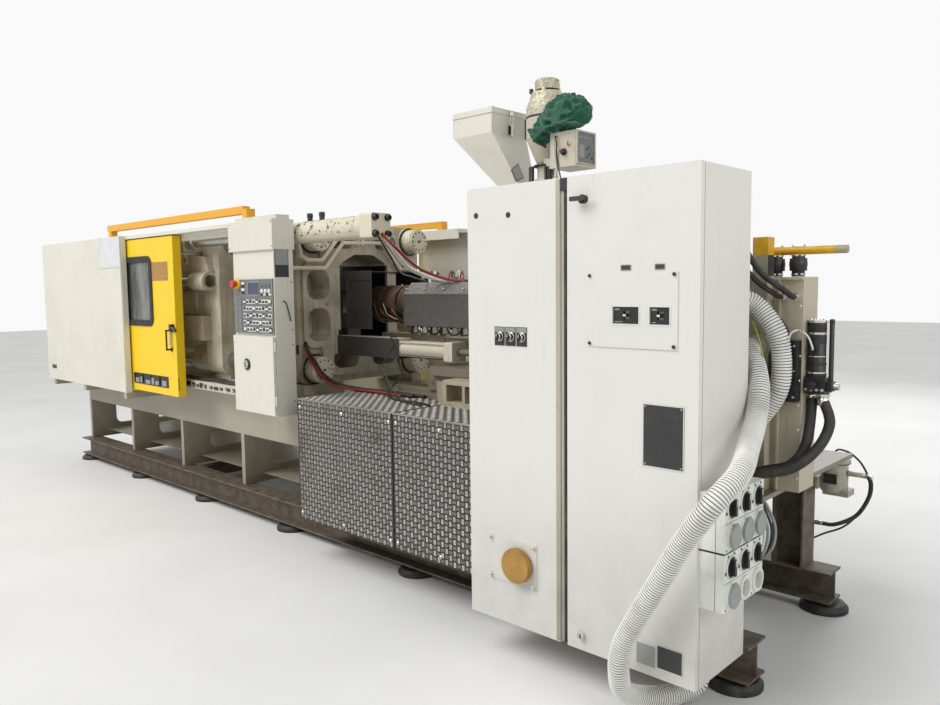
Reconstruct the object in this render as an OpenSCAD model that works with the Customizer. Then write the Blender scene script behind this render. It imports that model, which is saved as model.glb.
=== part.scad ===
// Horizontal injection moulding machine with its electric cabinet.
// X runs along the machine to the injection end, Y away from the operator, Z up. Sizes in mm.

/* [Frame] */
// X of the part's middle, counted from the cabinet's right side
origin_x = -3130; // [-3400:10:-3000]
// Y of the part's middle, counted from the cabinet's front
origin_y = 865; // [700:5:1000]

/* [Machine line] */
// Y of the clamp and barrel axis
axis_y = 955; // [900:5:1050]
// Height of the clamp and barrel axis
axis_z = 1474; // [1300:2:1600]
// Centre distance of the tie bars, both ways
tie_pitch = 830; // [700:10:950]
// Tie bar diameter
tie_d = 120; // [90:5:140]
// Diameter of the tie bar nuts
nut_d = 168; // [140:2:200]
// Length of the tie bar nuts
nut_l = 100; // [60:5:140]
// Diameter of the traverse cylinders
trav_d = 130; // [100:5:150]
// Running clearance between a bar and its bore, on the radius
run_gap = 0.3; // [0.1:0.1:1]

/* [Platens] */
// Half the height and width of a platen
platen_half = 515; // [450:5:560]
// X of the fixed platen's mould face
fixed_face_x = -3268; // [-3400:1:-3100]
// Thickness of the fixed platen
fixed_t = 350; // [250:10:400]
// Depth of the funnel behind the sprue bore
funnel_depth = 230; // [150:5:260]
// Locating ring bore diameter
locating_d = 160; // [100:5:200]
// X of the moving platen's mould face at rest
moving_face_x = -3900; // [-4100:10:-3700]
// Thickness of the moving platen's face slab
moving_slab = 220; // [150:5:250]
// Depth of the whole moving platen casting
moving_depth = 600; // [450:10:700]
// Distance of the mould bolt holes from each other
bolt_pitch = 140; // [100:5:160]
// Diameter of the mould bolt holes
bolt_d = 24; // [16:1:30]
// Diameter of the clamp ram
ram_d = 400; // [300:10:500]
// X of the cylinder platen's front face
tail_face_x = -5450; // [-5600:10:-5300]
// Thickness of the cylinder platen
tail_t = 300; // [200:10:350]

/* [Guards] */
// X of the guards' left end
guard_left = -6490; // [-6700:10:-6300]
// X of the fixed front guard's right edge
guard_right = -4820; // [-5000:10:-4600]
// Y of the fixed front guard's face
guard_y = 140; // [100:5:200]
// Bottom height of the guards
guard_z0 = 785; // [700:5:900]
// Top height of the guards
guard_z1 = 1985; // [1900:5:2100]
// Right edge of the sliding door at rest
door_x1 = -4080; // [-4200:10:-3900]
// Width of the sliding door
door_w = 1620; // [1500:10:1700]
// Thickness of the sliding door
door_t = 60; // [40:5:80]
// Bottom height of the sliding door
door_z0 = 812; // [780:2:850]
// Top height of the sliding door
door_z1 = 1952; // [1900:2:2000]

/* [Control column] */
// Left edge of the control column
col_x0 = -3232; // [-3300:2:-3150]
// Right edge of the control column
col_x1 = -2750; // [-2850:2:-2650]
// Y of the control column's face
col_y = 150; // [120:5:200]
// Depth of the control column
col_d = 132; // [100:2:180]

/* [Cabinet] */
// Cabinet width along X
cab_w = 1050; // [900:10:1200]
// Cabinet depth along Y
cab_d = 381; // [300:1:500]
// Underside height of the cabinet
cab_z0 = 175; // [100:5:250]
// Top height of the cabinet
cab_z1 = 1975; // [1800:5:2100]
// Thickness of the cabinet doors
cab_door_t = 25; // [15:1:40]
// Gap between a door's back and the cabinet body
cab_door_gap = 4; // [3:1:8]
// Sheet thickness of the cabinet
sheet = 4; // [2:1:6]
// Width of the socket outlets
outlet_w = 101; // [90:1:120]
// Height of the socket outlets
outlet_h = 198; // [180:1:220]
// Depth of the socket outlets off the cabinet side
outlet_d = 94; // [80:1:110]

/* [Injection unit] */
// Barrel diameter with its heater bands
barrel_d = 220; // [160:5:260]
// Barrel bore and screw diameter
screw_d = 70; // [40:2:90]
// X of the barrel's front end at rest
barrel_x0 = -2780; // [-2850:5:-2700]
// X of the feed throat
feed_x = -1400; // [-1500:5:-1300]
// Width of the barrel's cover
cover_w = 320; // [260:5:360]
// Width of the square hopper's rim
hopper_w = 288; // [250:2:350]
// Top height of the square hopper
hopper_z1 = 2520; // [2400:5:2600]
// Diameter of the drying hopper
dryer_d = 224; // [200:2:280]
// X of the carriage cylinders' rear end
car_x0 = -2303; // [-2310:1:-2295]

/* [Base] */
// Height of the levelling pads
pad_h = 48; // [30:1:80]
// Diameter of the levelling pads
pad_d = 220; // [160:5:260]
// Side of the H beams on the floor
beam = 150; // [100:5:200]
// Y of the front floor beam
beam_y0 = 465; // [440:5:500]
// Y of the rear floor beam
beam_y1 = 1445; // [1400:5:1500]
// Top height of the chequer plate covers
tread_z = 940; // [850:5:1000]

/* [Hidden] */
$fn = 32;
FINE = 48;
T0 = axis_y - tie_pitch / 2;
T1 = axis_y + tie_pitch / 2;
B0 = axis_z - tie_pitch / 2;
B1 = axis_z + tie_pitch / 2;
P0 = axis_y - platen_half;
P1 = axis_y + platen_half;
Q0 = axis_z - platen_half;
Q1 = axis_z + platen_half;
fixed_back_x = fixed_face_x + fixed_t;
beam_z = pad_h + beam;
deck_z = 740;
shelf_y = beam_y0 - beam / 2;
door_x0 = door_x1 - door_w;
door_y = guard_y + 50;
rear_y = 2 * axis_y - guard_y;
trav_y = P0 - trav_d / 2 - 5;
trav_z = 1906;
trav_x0 = fixed_face_x + 53;
trav_x1 = -2142;
bar_y = P0 - 35;
estop_x = col_x0 + 86;
bar_z = 1633;
car_s = 195;
car_z = 1204;
car_x1 = car_x0 + 388;
trav_y2 = 2 * axis_y - trav_y;
trav_z2 = 2 * axis_z - trav_z;
tail_back_x = tail_face_x - tail_t;
house_x0 = -130;
house_x1 = 97;
house_y0 = 640;
door_split0 = -573;
door_split1 = -538;
outlet_y0 = 12;
purge_x0 = fixed_back_x + 78;
purge_x1 = -2585;
purge_y = 1180;
purge_z = 1668;
outlet_pitch = outlet_w + 0.5;
outlet_z = [680, 475];
cover_y0 = axis_y - cover_w / 2;
cover_y1 = axis_y + cover_w / 2;
ram_x0 = guard_left + 690;
PAD_X = [guard_left + 110, -5300, -4200, -3100, -1900, -900, -70];

module shop() translate([-origin_x, -origin_y, 0]) children();

module box(x0, x1, y0, y1, z0, z1) {
  translate([x0, y0, z0]) cube([x1 - x0, y1 - y0, z1 - z0]);
}

module cylx(x0, x1, y, z, d) {
  translate([x0, y, z]) rotate([0, 90, 0]) cylinder(d = d, h = x1 - x0);
}

module cyly(y0, y1, x, z, d) {
  translate([x, y0, z]) rotate([-90, 0, 0]) cylinder(d = d, h = y1 - y0);
}

module cylz(z0, z1, x, y, d) {
  translate([x, y, z0]) cylinder(d = d, h = z1 - z0);
}

module conex(x0, x1, y, z, d0, d1) {
  translate([x0, y, z]) rotate([0, 90, 0]) cylinder(d1 = d0, d2 = d1, h = x1 - x0);
}

// A profile drawn in (y, z), pulled along X
module pullx(x0, x1, pts) {
  translate([x0, 0, 0]) rotate([90, 0, 90]) linear_extrude(x1 - x0) polygon(pts);
}

// A profile drawn in (x, z), pulled along Y
module pully(y0, y1, pts) {
  translate([0, y1, 0]) rotate([90, 0, 0]) linear_extrude(y1 - y0) polygon(pts);
}

// A flat rectangle with round corners
module rrect(w, h, r) {
  square([w - 2 * r, h], center = true);
  square([w, h - 2 * r], center = true);
  for (i = [-1, 1], j = [-1, 1]) translate([i * (w / 2 - r), j * (h / 2 - r)]) circle(r);
}

// A rounded block with its flat sides facing X
module slabx(x0, x1, y, z, w, h, r) {
  translate([x0, y, z]) rotate([90, 0, 90]) linear_extrude(x1 - x0) rrect(w, h, r);
}

// A rounded block with its flat sides facing Y
module slaby(y0, y1, x, z, w, h, r) {
  translate([x, y1, z]) rotate([90, 0, 0]) linear_extrude(y1 - y0) rrect(w, h, r);
}

module tie_bores(x0, x1, d) {
  for (y = [T0, T1], z = [B0, B1]) cylx(x0, x1, y, z, d);
}

module mould_holes(x0, x1) {
  for (i = [-2, -1, 1, 2], j = [-2, -1, 1, 2])
    cylx(x0, x1, axis_y + i * bolt_pitch, axis_z + j * bolt_pitch, bolt_d);
}

// An H section beam along X
module hbeam(x0, x1, y, z0, h) {
  w = h / 2;
  pullx(x0, x1, [
    [y - w, z0], [y + w, z0], [y + w, z0 + 11], [y + 4, z0 + 11],
    [y + 4, z0 + h - 11], [y + w, z0 + h - 11], [y + w, z0 + h], [y - w, z0 + h],
    [y - w, z0 + h - 11], [y - 4, z0 + h - 11], [y - 4, z0 + 11], [y - w, z0 + 11]
  ]);
}

// An upright H section column with its flanges facing X
module hpost(x0, y0, w, z0, z1) {
  translate([x0, y0, z0]) linear_extrude(z1 - z0) polygon([
    [0, 0], [11, 0], [11, w / 2 - 4], [w - 11, w / 2 - 4], [w - 11, 0], [w, 0],
    [w, w], [w - 11, w], [w - 11, w / 2 + 4], [11, w / 2 + 4], [11, w], [0, w]
  ]);
}

module bed() shop() color([0.75, 0.72, 0.62]) {
  stations = [guard_left + 90, -5500, -4600, -3700, -2600];
  difference() {
    union() {
      for (y = [P0 + 10, P1 - 150]) box(guard_left + 90, -2560, y, y + 140, 560, 900);
      for (x = stations) box(x, x + 40, P0 + 10, P1 - 10, beam_z, 880);
      box(guard_left + 90, -2560, P0 + 150, P1 - 150, beam_z + 60, beam_z + 66);
    }
    for (x = stations) slabx(x - 1, x + 41, axis_y, 500, 560, 380, 60);
  }
  for (y = [T0 - 40, T1 - 40]) box(-5000, -3400, y, y + 80, 900, 925);
  for (y = [P0 + 10, P1 - 100]) box(tail_back_x, tail_face_x, y, y + 90, 900, Q0);
  for (y = [P0 + 10, P1 - 100]) box(fixed_face_x, fixed_back_x, y, y + 90, 900, Q0);
  box(-4900, fixed_face_x, 300, 372, 868, 925);
  for (x = [-4860, -4100, -3360]) box(x, x + 50, 372, P0 + 10, 868, 900);
  for (x = [guard_left + 100, -5700, guard_right - 80])
    box(x, x + 50, guard_y + 6, P0 + 10, guard_z0 - 50, guard_z0);
  for (x = [guard_left + 100, -5700, -4900, -3900, -3240, -2800])
    box(x, x + 50, P1 - 10, rear_y - 4, guard_z0 - 50, guard_z0);
  box(col_x0 + 60, col_x1 - 20, col_y + col_d, P0 + 10, 820, 870);
}

module floor_beams() shop() color([0.45, 0.43, 0.38]) {
  hbeam(guard_left + 20, 20, beam_y0, pad_h, beam);
  hbeam(guard_left + 20, -20, beam_y1, pad_h, beam);
  for (x = [-4700, -2300])
    box(x, x + 90, beam_y0 + 4, beam_y1 - 4, pad_h + 11, pad_h + 101);
  for (x = [-300, -950, -2200], y = [beam_y0, beam_y1]) hpost(x, y - beam / 2, beam, beam_z, deck_z);
}

module levelling_pads() shop() color([0.1, 0.1, 0.1]) {
  for (x = PAD_X, y = [beam_y0, beam_y1]) translate([x, y, 0]) {
    cylinder(d = pad_d, h = 18);
    translate([0, 0, 18]) cylinder(d1 = pad_d - 8, d2 = pad_d - 34, h = 18);
    translate([0, 0, 36]) cylinder(d = 120, h = pad_h - 36);
  }
}

module stationary_platen() shop() color([0.8, 0.77, 0.67]) {
  difference() {
    union() {
      slabx(fixed_face_x, fixed_back_x - 30, axis_y, axis_z, 2 * platen_half, 2 * platen_half, 70);
      for (y = [T0, T1], z = [B0, B1]) cylx(fixed_back_x - 40, fixed_back_x, y, z, nut_d + 28);
      slabx(fixed_back_x - 30, fixed_back_x, axis_y, axis_z, 700, 940, 120);
      slabx(fixed_back_x - 30, fixed_back_x, axis_y, axis_z, 980, 560, 80);
      cylx(fixed_back_x - 1, purge_x1, purge_y, purge_z, 14);
    }
    tie_bores(fixed_face_x - 1, fixed_back_x + 1, tie_d + 2 * run_gap);
    mould_holes(fixed_face_x - 1, fixed_face_x + 55);
    cylx(fixed_face_x - 1, fixed_back_x, axis_y, axis_z, locating_d);
    pullx(fixed_back_x - funnel_depth, fixed_back_x + 1, [
      [axis_y - 185, axis_z - 225], [axis_y + 185, axis_z - 225], [axis_y + 185, axis_z + 262],
      [axis_y + 80, axis_z + 318], [axis_y - 80, axis_z + 318], [axis_y - 185, axis_z + 262]
    ]);
    for (s = [-1, 1]) {
      slabx(fixed_back_x - 210, fixed_back_x + 1, axis_y + s * 372, axis_z + 122, 176, 190, 70);
      slabx(fixed_back_x - 210, fixed_back_x + 1, axis_y + s * 372, axis_z - 133, 176, 212, 70);
      slabx(fixed_back_x - 210, fixed_back_x + 1, axis_y + s * 160, axis_z - 365, 210, 124, 60);
      slabx(fixed_back_x - 210, fixed_back_x + 1, axis_y + s * 190, axis_z + 400, 190, 90, 40);
    }
  }
}

module cylinder_platen() shop() color([0.8, 0.77, 0.67]) {
  difference() {
    union() {
      slabx(tail_back_x, tail_face_x, axis_y, axis_z, 2 * platen_half, 2 * platen_half, 90);
      cylx(guard_left + 150, tail_back_x, axis_y, axis_z, ram_d + 260);
      for (a = [0 : 30 : 330]) translate([0, axis_y + 290 * cos(a), axis_z + 290 * sin(a)])
        rotate([0, 90, 0]) translate([0, 0, guard_left + 128]) cylinder(d = 44, h = 24);
      box(tail_face_x - 100, tail_face_x, bar_y - 60, P0 + 40, bar_z - 60, bar_z + 60);
    }
    tie_bores(tail_back_x - 1, tail_face_x + 1, tie_d + 2 * run_gap);
    cylx(guard_left + 230, tail_face_x + 1, axis_y, axis_z, ram_d + 2 * run_gap);
    cylx(tail_face_x - 101, tail_face_x + 1, bar_y, bar_z, 64 + 2 * run_gap);
    for (s = [-1, 1]) slabx(tail_back_x - 1, tail_back_x + 180, axis_y + s * 428, axis_z, 120, 400, 50);
  }
}

module tie_bars() shop() color([0.72, 0.73, 0.74]) {
  tie_bores(tail_back_x - nut_l + 10, fixed_back_x + nut_l - 10, tie_d);
  for (y = [T0, T1], z = [B0, B1]) {
    cylx(fixed_back_x, fixed_back_x + nut_l - 12, y, z, nut_d);
    cylx(fixed_back_x + nut_l - 12, fixed_back_x + nut_l, y, z, nut_d - 14);
    cylx(tail_back_x - nut_l, tail_back_x, y, z, nut_d);
    for (a = [0 : 30 : 330]) translate([fixed_back_x + nut_l, y, z]) rotate([a, 0, 0])
      translate([0, nut_d / 2 - 22, 0]) rotate([0, 90, 0]) cylinder(d = 9, h = 5);
  }
}

// A traverse cylinder barrel with its square heads
module traverse(y, z) {
  difference() {
    union() {
      cylx(trav_x0, trav_x1 + 10, y, z, trav_d);
      slabx(trav_x0 - 80, trav_x0 + 20, y, z, trav_d + 4, trav_d + 4, 10);
      slabx(trav_x1, trav_x1 + 100, y, z, trav_d + 4, trav_d + 4, 10);
      for (i = [-44, 44], j = [-44, 44]) cylx(trav_x1 + 100, trav_x1 + 112, y + i, z + j, 26);
      for (x = [-2688, -2569]) cylz(z + trav_d / 2 - 4, z + trav_d / 2 + 22, x, y, 32);
    }
    cylx(trav_x0, trav_x1, y, z, trav_d - 30);
    cylx(trav_x0 - 81, trav_x0 + 1, y, z, 70 + 2 * run_gap);
  }
}

// A bent pipe in straight pieces with round joints
module pipe(pts, d) {
  for (i = [0 : len(pts) - 2]) {
    v = pts[i + 1] - pts[i];
    l = norm(v);
    translate(pts[i]) rotate([0, acos(v[2] / l), atan2(v[1], v[0])]) cylinder(d = d, h = l);
  }
  for (i = [1 : len(pts) - 2]) translate(pts[i]) sphere(d = d + 4);
}

module hydraulic_cylinders() shop() color([0.8, 0.77, 0.66]) {
  traverse(trav_y, trav_z);
  traverse(trav_y2, trav_z2);
  box(trav_x0 - 70, trav_x0 + 60, trav_y + trav_d / 2 - 2, P0, trav_z - 60, trav_z + 10);
  box(trav_x0 - 70, trav_x0 + 60, P1, trav_y2 - trav_d / 2 + 2, trav_z2 - 10, trav_z2 + 60);
  for (s = [-1, 1]) {
    y = axis_y + s * car_s;
    box(fixed_back_x, car_x0 + 1, y - 50, y + 50, car_z - 60, car_z + 62);
    difference() {
      union() {
        cylx(car_x0, car_x1, y, car_z, 92);
        slabx(car_x1 - 2, car_x1 + 66, y, car_z, 112, 112, 8);
        for (i = [-42, 42], j = [-42, 42]) cylx(car_x0, car_x1 - 1, y + i, car_z + j, 10);
      }
      cylx(car_x0 + 2, car_x1 - 1, y, car_z, 70);
      cylx(car_x1 - 2, car_x1 + 67, y, car_z, 40 + 2 * run_gap);
    }
  }
  pipe([[-3160, trav_y, trav_z - 62], [-3160, 372, 1740], [-3110, 360, 1700], [-2860, 352, 1698],
    [-2860, 595, 1700], [-2860, 741, 1862], [-2860, 1065, 1870], [-2860, 1225, 1700],
    [fixed_back_x, 1225, 1700]], 26);
  pipe([[-2860, trav_y + 30, trav_z - 54], [-2860, 420, 1772], [-2860, 470, 1748], [-2860, 573, 1750],
    [-2860, 705, 1895], [-2860, 1078, 1904], [-2860, 1270, 1720], [fixed_back_x, 1270, 1720]], 26);
  box(fixed_back_x, -2845, 885, 905, 1850, 1916);
}

module front_guard() shop() color([0.82, 0.8, 0.72]) {
  difference() {
    box(guard_left, guard_right, guard_y, guard_y + 40, guard_z0, guard_z1);
    box(guard_left + 4, guard_right - 4, guard_y + 4, guard_y + 41, guard_z0 + 4, guard_z1 - 4);
    box(guard_left + 90, guard_left + 200, guard_y - 1, guard_y + 5, guard_z0 + 95, guard_z0 + 130);
  }
  box(guard_left, col_x0 - 2, guard_y + 40, door_y + door_t + 20, guard_z1 - 25, guard_z1);
  box(guard_left, col_x0 - 2, door_y + door_t + 10, door_y + door_t + 20, guard_z1 - 70, guard_z1 - 24);
  box(guard_left, guard_left + 6, guard_y + 39, 420, guard_z0, guard_z1);
}

module rear_guard() shop() color([0.8, 0.78, 0.7]) {
  box(guard_left, guard_right, rear_y - 4, rear_y, guard_z0, guard_z1);
  box(fixed_face_x + 18, -2700, rear_y - 4, rear_y, guard_z0, guard_z1);
  box(guard_left, -2700, rear_y - 130, rear_y - 3, guard_z1 - 25, guard_z1);
  box(guard_left, -2700, rear_y - 130, rear_y - 120, guard_z1 - 70, guard_z1 - 24);
  box(guard_left, -2700, rear_y - 40, rear_y - 3, guard_z0, guard_z0 + 20);
  difference() {
    box(guard_left, guard_left + 6, 420, rear_y - 3, guard_z0, guard_z1);
    slabx(guard_left - 1, guard_left + 7, axis_y, axis_z, 560, 560, 40);
  }
}

module control_column() shop() color([0.83, 0.81, 0.73]) {
  difference() {
    box(col_x0 + 34, col_x1, col_y, col_y + col_d, 817, 1806);
    box(col_x0 + 38, col_x1 - 4, col_y - 1, col_y + col_d - 4, 832, 1288);
    box(col_x0 + 38, col_x1 - 4, col_y + 14, col_y + col_d - 4, 1300, 1800);
    cyly(col_y - 1, col_y + 15, estop_x, 1606, 16 + 2 * run_gap);
  }
  box(col_x0, col_x1 + 8, col_y - 10, col_y + col_d + 8, 1803, guard_z1 - 5);
  box(col_x0 + 20, col_x1 - 10, col_y + 30, col_y + col_d - 10, guard_z1 - 6, guard_z1 + 22);
  for (z = [880, 1200]) {
    cylz(z, z + 60, col_x1 - 1, col_y - 8, 14);
    box(col_x1 - 4, col_x1, col_y - 8, col_y + 1, z, z + 60);
  }
}

module operator_panel() shop() color([0.55, 0.55, 0.53]) {
  difference() {
    box(col_x0 + 46, col_x1 - 10, col_y - 8, col_y, 1303, 1633);
    box(-3020, -2900, col_y - 9, col_y - 4, 1540, 1612);
    cyly(col_y - 40, col_y + 1, estop_x, 1606, 16 + 2 * run_gap);
  }
  for (r = [0 : 4], c = [0 : 8]) box(-3080 + c * 33, -3054 + c * 33, col_y - 10, col_y - 8,
    1318 + r * 42, 1338 + r * 42);
  for (r = [0 : 5], c = [0 : 1]) box(-3176 + c * 40, -3144 + c * 40, col_y - 10, col_y - 8,
    1318 + r * 36, 1346 + r * 36);
  difference() {
    cyly(col_y - 20, col_y - 8, estop_x, 1606, 46);
    cyly(col_y - 40, col_y + 1, estop_x, 1606, 16 + 2 * run_gap);
  }
}

module top_beams() shop() color([0.87, 0.62, 0.12]) {
  box(-5190, -3150, 200, 250, 2038, 2085);
  box(-5170, -5120, 200, 250, guard_z1, 2038);
  box(-3151, -3100, 195, 255, guard_z1 + 22, 2066);
  box(-5190, -2910, rear_y - 90, rear_y - 40, 2005, 2050);
  box(-2950, -2900, rear_y - 95, rear_y - 35, guard_z1, 2050);
  box(-5170, -5120, rear_y - 90, rear_y - 40, guard_z1, 2005);
}

// A chequer plate cover: top, front and both ends
module cover(x0, x1) {
  box(x0, x1, 180, 185, 230, tread_z);
  box(x0, x1, 180, axis_y - 305, tread_z - 5, tread_z);
  for (x = [x0, x1 - 5]) box(x, x + 5, 180, shelf_y - 3, 230, tread_z);
}

module tread_plates() shop() color([0.5, 0.5, 0.5]) {
  cover(-2598, -1768);
  cover(-1762, -1090);
  difference() {
    box(-1727, -1430, 507, 618, tread_z, tread_z + 140);
    for (x = [-1702, -1565]) box(x, x + 117, 506, 598, tread_z + 26, tread_z + 116);
  }
  translate([0, 0, tread_z]) linear_extrude(110)
    polygon([[-1727, 507], [-1700, 507], [-1700, 540], [-1880, 645], [-1915, 645]]);
}

module cabinet_body() shop() color([0.88, 0.87, 0.82]) {
  f = cab_door_t + cab_door_gap;
  difference() {
    box(-cab_w, 0, f, cab_d, cab_z0, cab_z1);
    box(-cab_w + sheet, -sheet, f + 20, cab_d - sheet, cab_z0 + sheet, cab_z1 - sheet);
    box(-cab_w + 45, door_split0 - 12, f - 1, f + 21, cab_z0 + 45, cab_z1 - 45);
    box(door_split1 + 12, -45, f - 1, f + 21, cab_z0 + 45, cab_z1 - 45);
  }
  box(door_split0 + 6, door_split1 - 6, 12, f, cab_z0, cab_z1);
  for (r = [[10 - cab_w, door_split0 - 2], [door_split1 + 2, -15]]) difference() {
    box(r[0], r[1], cab_door_t + run_gap, f, cab_z0 + 15, cab_z1 - 15);
    box(r[0] + 8, r[1] - 8, cab_door_t, f + 1, cab_z0 + 23, cab_z1 - 23);
  }
  for (x = [-965, -315]) box(x, x + 180, cab_d - 1, shelf_y, 500, 560);
  for (x = [-cab_w + 100, -260]) box(x, x + 80, 200, beam_y0 - 4, cab_z0 - 20, cab_z0);
  cylz(cab_z0 - 40, cab_z0, -110, 250, 96);
}

module switchgear() shop() color([0.6, 0.6, 0.58]) {
  box(-cab_w + 60, -60, cab_d - sheet - 20, cab_d - sheet, cab_z0 + 80, cab_z1 - 80);
  for (z = [500, 900, 1300, 1650], x = [-960 : 150 : -130])
    box(x, x + 110, cab_d - sheet - 130, cab_d - sheet - 20, z, z + 150);
  for (z = [440, 840, 1230, 1580]) box(-980, -80, cab_d - sheet - 70, cab_d - sheet - 20, z, z + 40);
}

module outlet_boxes() shop() color([0.86, 0.86, 0.82]) {
  for (zr = outlet_z, c = [0 : 2]) {
    y0 = outlet_y0 + c * outlet_pitch;
    yc = y0 + outlet_w / 2;
    difference() {
      union() {
        box(0, 60, y0, y0 + outlet_w, zr, zr + outlet_h);
        box(60, 62, y0 + 2, y0 + outlet_w - 2, zr + 2, zr + outlet_h - 2);
        box(62, outlet_d, y0, y0 + outlet_w, zr, zr + outlet_h);
        cylx(outlet_d, outlet_d + 10, yc, zr + 50, 84);
      }
      cylx(outlet_d - 30, outlet_d + 11, yc, zr + 50, 62);
      cylx(outlet_d - 8, outlet_d + 1, yc, zr + 148, 72);
      cylx(outlet_d - 30, outlet_d + 1, yc, zr + 148, 12 + 2 * run_gap);
      box(outlet_d - 2, outlet_d + 1, y0 - 1, y0 + outlet_w + 1, zr + 98, zr + 100);
    }
    for (a = [30, 150, 270]) cylx(outlet_d - 30, outlet_d - 4, yc + 20 * cos(a), zr + 50 + 20 * sin(a), 7);
  }
}

module injection_base() shop() color([0.7, 0.67, 0.58]) {
  box(-2560, 20, shelf_y, beam_y1 + beam / 2, deck_z, deck_z + 20);
  for (y = [axis_y - 300, axis_y + 200]) box(-2340, -400, y, y + 100, deck_z + 20, 960);
  for (y = [axis_y - 300, axis_y + 200]) box(-2340, -400, y + 20, y + 80, 960, 990);
  box(-2560, -1090, axis_y - 360, axis_y - 310, deck_z + 20, tread_z - 5);
  box(-1080, -180, axis_y - 200, axis_y + 200, deck_z + 20, deck_z + 32);
}

module power_pack() shop() color([0.35, 0.4, 0.38]) {
  y0 = beam_y0 + 35;
  y1 = beam_y1 - 35;
  box(-2040, -1000, y0, y1, beam_z, 560);
  cylx(-1000, -920, axis_y, 420, 200);
  cylx(-920, -460, axis_y, 420, 300);
  cylx(-460, -420, axis_y, 420, 260);
  box(-790, -400, y0, y1, beam_z, beam_z + 30);
  for (x = [-780, -520]) box(x, x + 60, axis_y - 130, axis_y + 130, beam_z + 30, 300);
  box(-780, -640, axis_y - 60, axis_y + 60, 560, 620);
  cylz(548, 690, -90, 1606, 126);
  cylz(690, 708, -90, 1606, 146);
  box(-130, -10, 1560, 1652, 530, 560);
  box(-170, -140, beam_y1 + 75, 1606, 560, 620);
  box(-150, -128, 1580, 1640, 560, 620);
  cylx(-27, 40, 1606, 640, 24);
}

module valve_stack() shop() color([0.2, 0.2, 0.2]) {
  cylz(1212, 1262, 131, 700, 67);
  cylz(1262, 1376, 131, 700, 66);
  cylz(1376, 1384, 131, 700, 60);
  cylz(1384, 1428, 131, 700, 66);
  box(house_x1, 176, 660, 740, 1150, 1212);
  box(20, house_x1 - 2, house_y0 - 50, house_y0, 1120, 1355);
  cylz(1190, 1420, 178, 720, 18);
  box(150, 186, 700, 738, 1172, 1190);
}

module rear_housing() shop() color([0.72, 0.69, 0.6]) {
  y1 = house_y0 + 150;
  z1 = 1596;
  difference() {
    box(house_x0, house_x1, house_y0, y1, deck_z + 20, z1);
    box(house_x0 - 1, house_x1 - 8, house_y0 + 8, y1 - 8, deck_z + 28, z1 - 8);
  }
  for (x = [house_x0, 6]) box(x, x + 8, house_y0 - 14, house_y0, deck_z + 20, z1);
  box(house_x0, house_x1, house_y0 - 14, house_y0, z1 - 10, z1);
  box(-78, -18, house_y0 - 60, house_y0, deck_z + 20, 1750);
  cyly(house_y0 - 80, house_y0 - 60, -48, 1330, 96);
  for (x = [-38, 48]) {
    cylz(z1, 1684, x, 712, 48);
    cylz(1620, 1668, x, 712, 64);
  }
  cylx(-72, 230, 712, 1698, 32);
}

// Centre points of a swept hose, from round route points by a smooth curve
function mix(a, b, t) = a + (b - a) * t;
function spline(p, i, t) = let(
  a = p[max(i - 1, 0)], b = p[i], c = p[i + 1], d = p[min(i + 2, len(p) - 1)])
  0.5 * ((2 * b) + (c - a) * t + (2 * a - 5 * b + 4 * c - d) * t * t
  + (3 * b - a - 3 * c + d) * t * t * t);
function sweep_path(p, n) = [
  for (i = [0 : len(p) - 2], k = [0 : n - 1]) spline(p, i, k / n), p[len(p) - 1]];
function unit(v) = v / norm(v);
function tangent(q, i) = unit(q[min(i + 1, len(q) - 1)] - q[max(i - 1, 0)]);
function carry(u, t) = unit(u - t * (u * t));
function frames(q, i, u, acc) = i == len(q) ? acc :
  let(v = carry(u, tangent(q, i))) frames(q, i + 1, v, concat(acc, [v]));

module hose(p, d, n) {
  q = sweep_path(p, n);
  m = 10;
  u0 = abs(tangent(q, 0)[2]) > 0.9 ? [1, 0, 0] : [0, 0, 1];
  f = frames(q, 0, u0, []);
  pts = [for (i = [0 : len(q) - 1], k = [0 : m - 1])
    let(t = tangent(q, i), w = cross(t, f[i]), a = 360 * k / m)
    q[i] + (f[i] * cos(a) + w * sin(a)) * d / 2];
  L = len(q) - 1;
  sides = [for (i = [0 : L - 1], k = [0 : m - 1])
    [i * m + k, i * m + (k + 1) % m, (i + 1) * m + (k + 1) % m, (i + 1) * m + k]];
  ends = [[for (k = [m - 1 : -1 : 0]) k], [for (k = [0 : m - 1]) L * m + k]];
  polyhedron(pts, concat(sides, ends));
}

CONDUIT = [
  [-48, 560, 1330], [-48, 545, 1330], [-48, 530, 1330], [-35, 490, 1305], [0, 450, 1255],
  [32, 405, 1180], [50, 340, 1084], [95, 180, 1015], [135, 20, 955], [100, -95, 872],
  [-2, -105, 716], [-88, -105, 563], [-174, -105, 410], [-226, -105, 302], [-245, -95, 205],
  [-250, -50, 110], [-215, 50, 62], [-155, 160, 52], [-116, 230, 72], [-110, 250, 105],
  [-110, 250, 120], [-110, 250, 135]];
CONDUIT_B = [
  [-120, 381, 1530], [-120, 400, 1530], [-120, 420, 1530], [-40, 500, 1500], [40, 520, 1400],
  [62, 530, 1300], [55, 532, 1180], [0, 530, 1080], [-90, 528, 970], [-150, 545, 890],
  [-165, 560, 830], [-165, 560, 800], [-165, 560, 780], [-165, 560, 760]];
HOSE_A = [
  [118, 700, 1150], [118, 700, 1135], [118, 700, 1120], [126, 625, 960], [85, 580, 880],
  [0, 548, 850], [-70, 545, 815], [-80, 545, 785], [-80, 545, 772], [-80, 545, 760]];
HOSE_B = [
  [162, 690, 1150], [162, 690, 1138], [162, 690, 1126], [195, 670, 1040], [175, 600, 950],
  [110, 530, 880], [10, 488, 850], [-70, 485, 815], [-80, 485, 785], [-80, 485, 772], [-80, 485, 760]];
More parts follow.
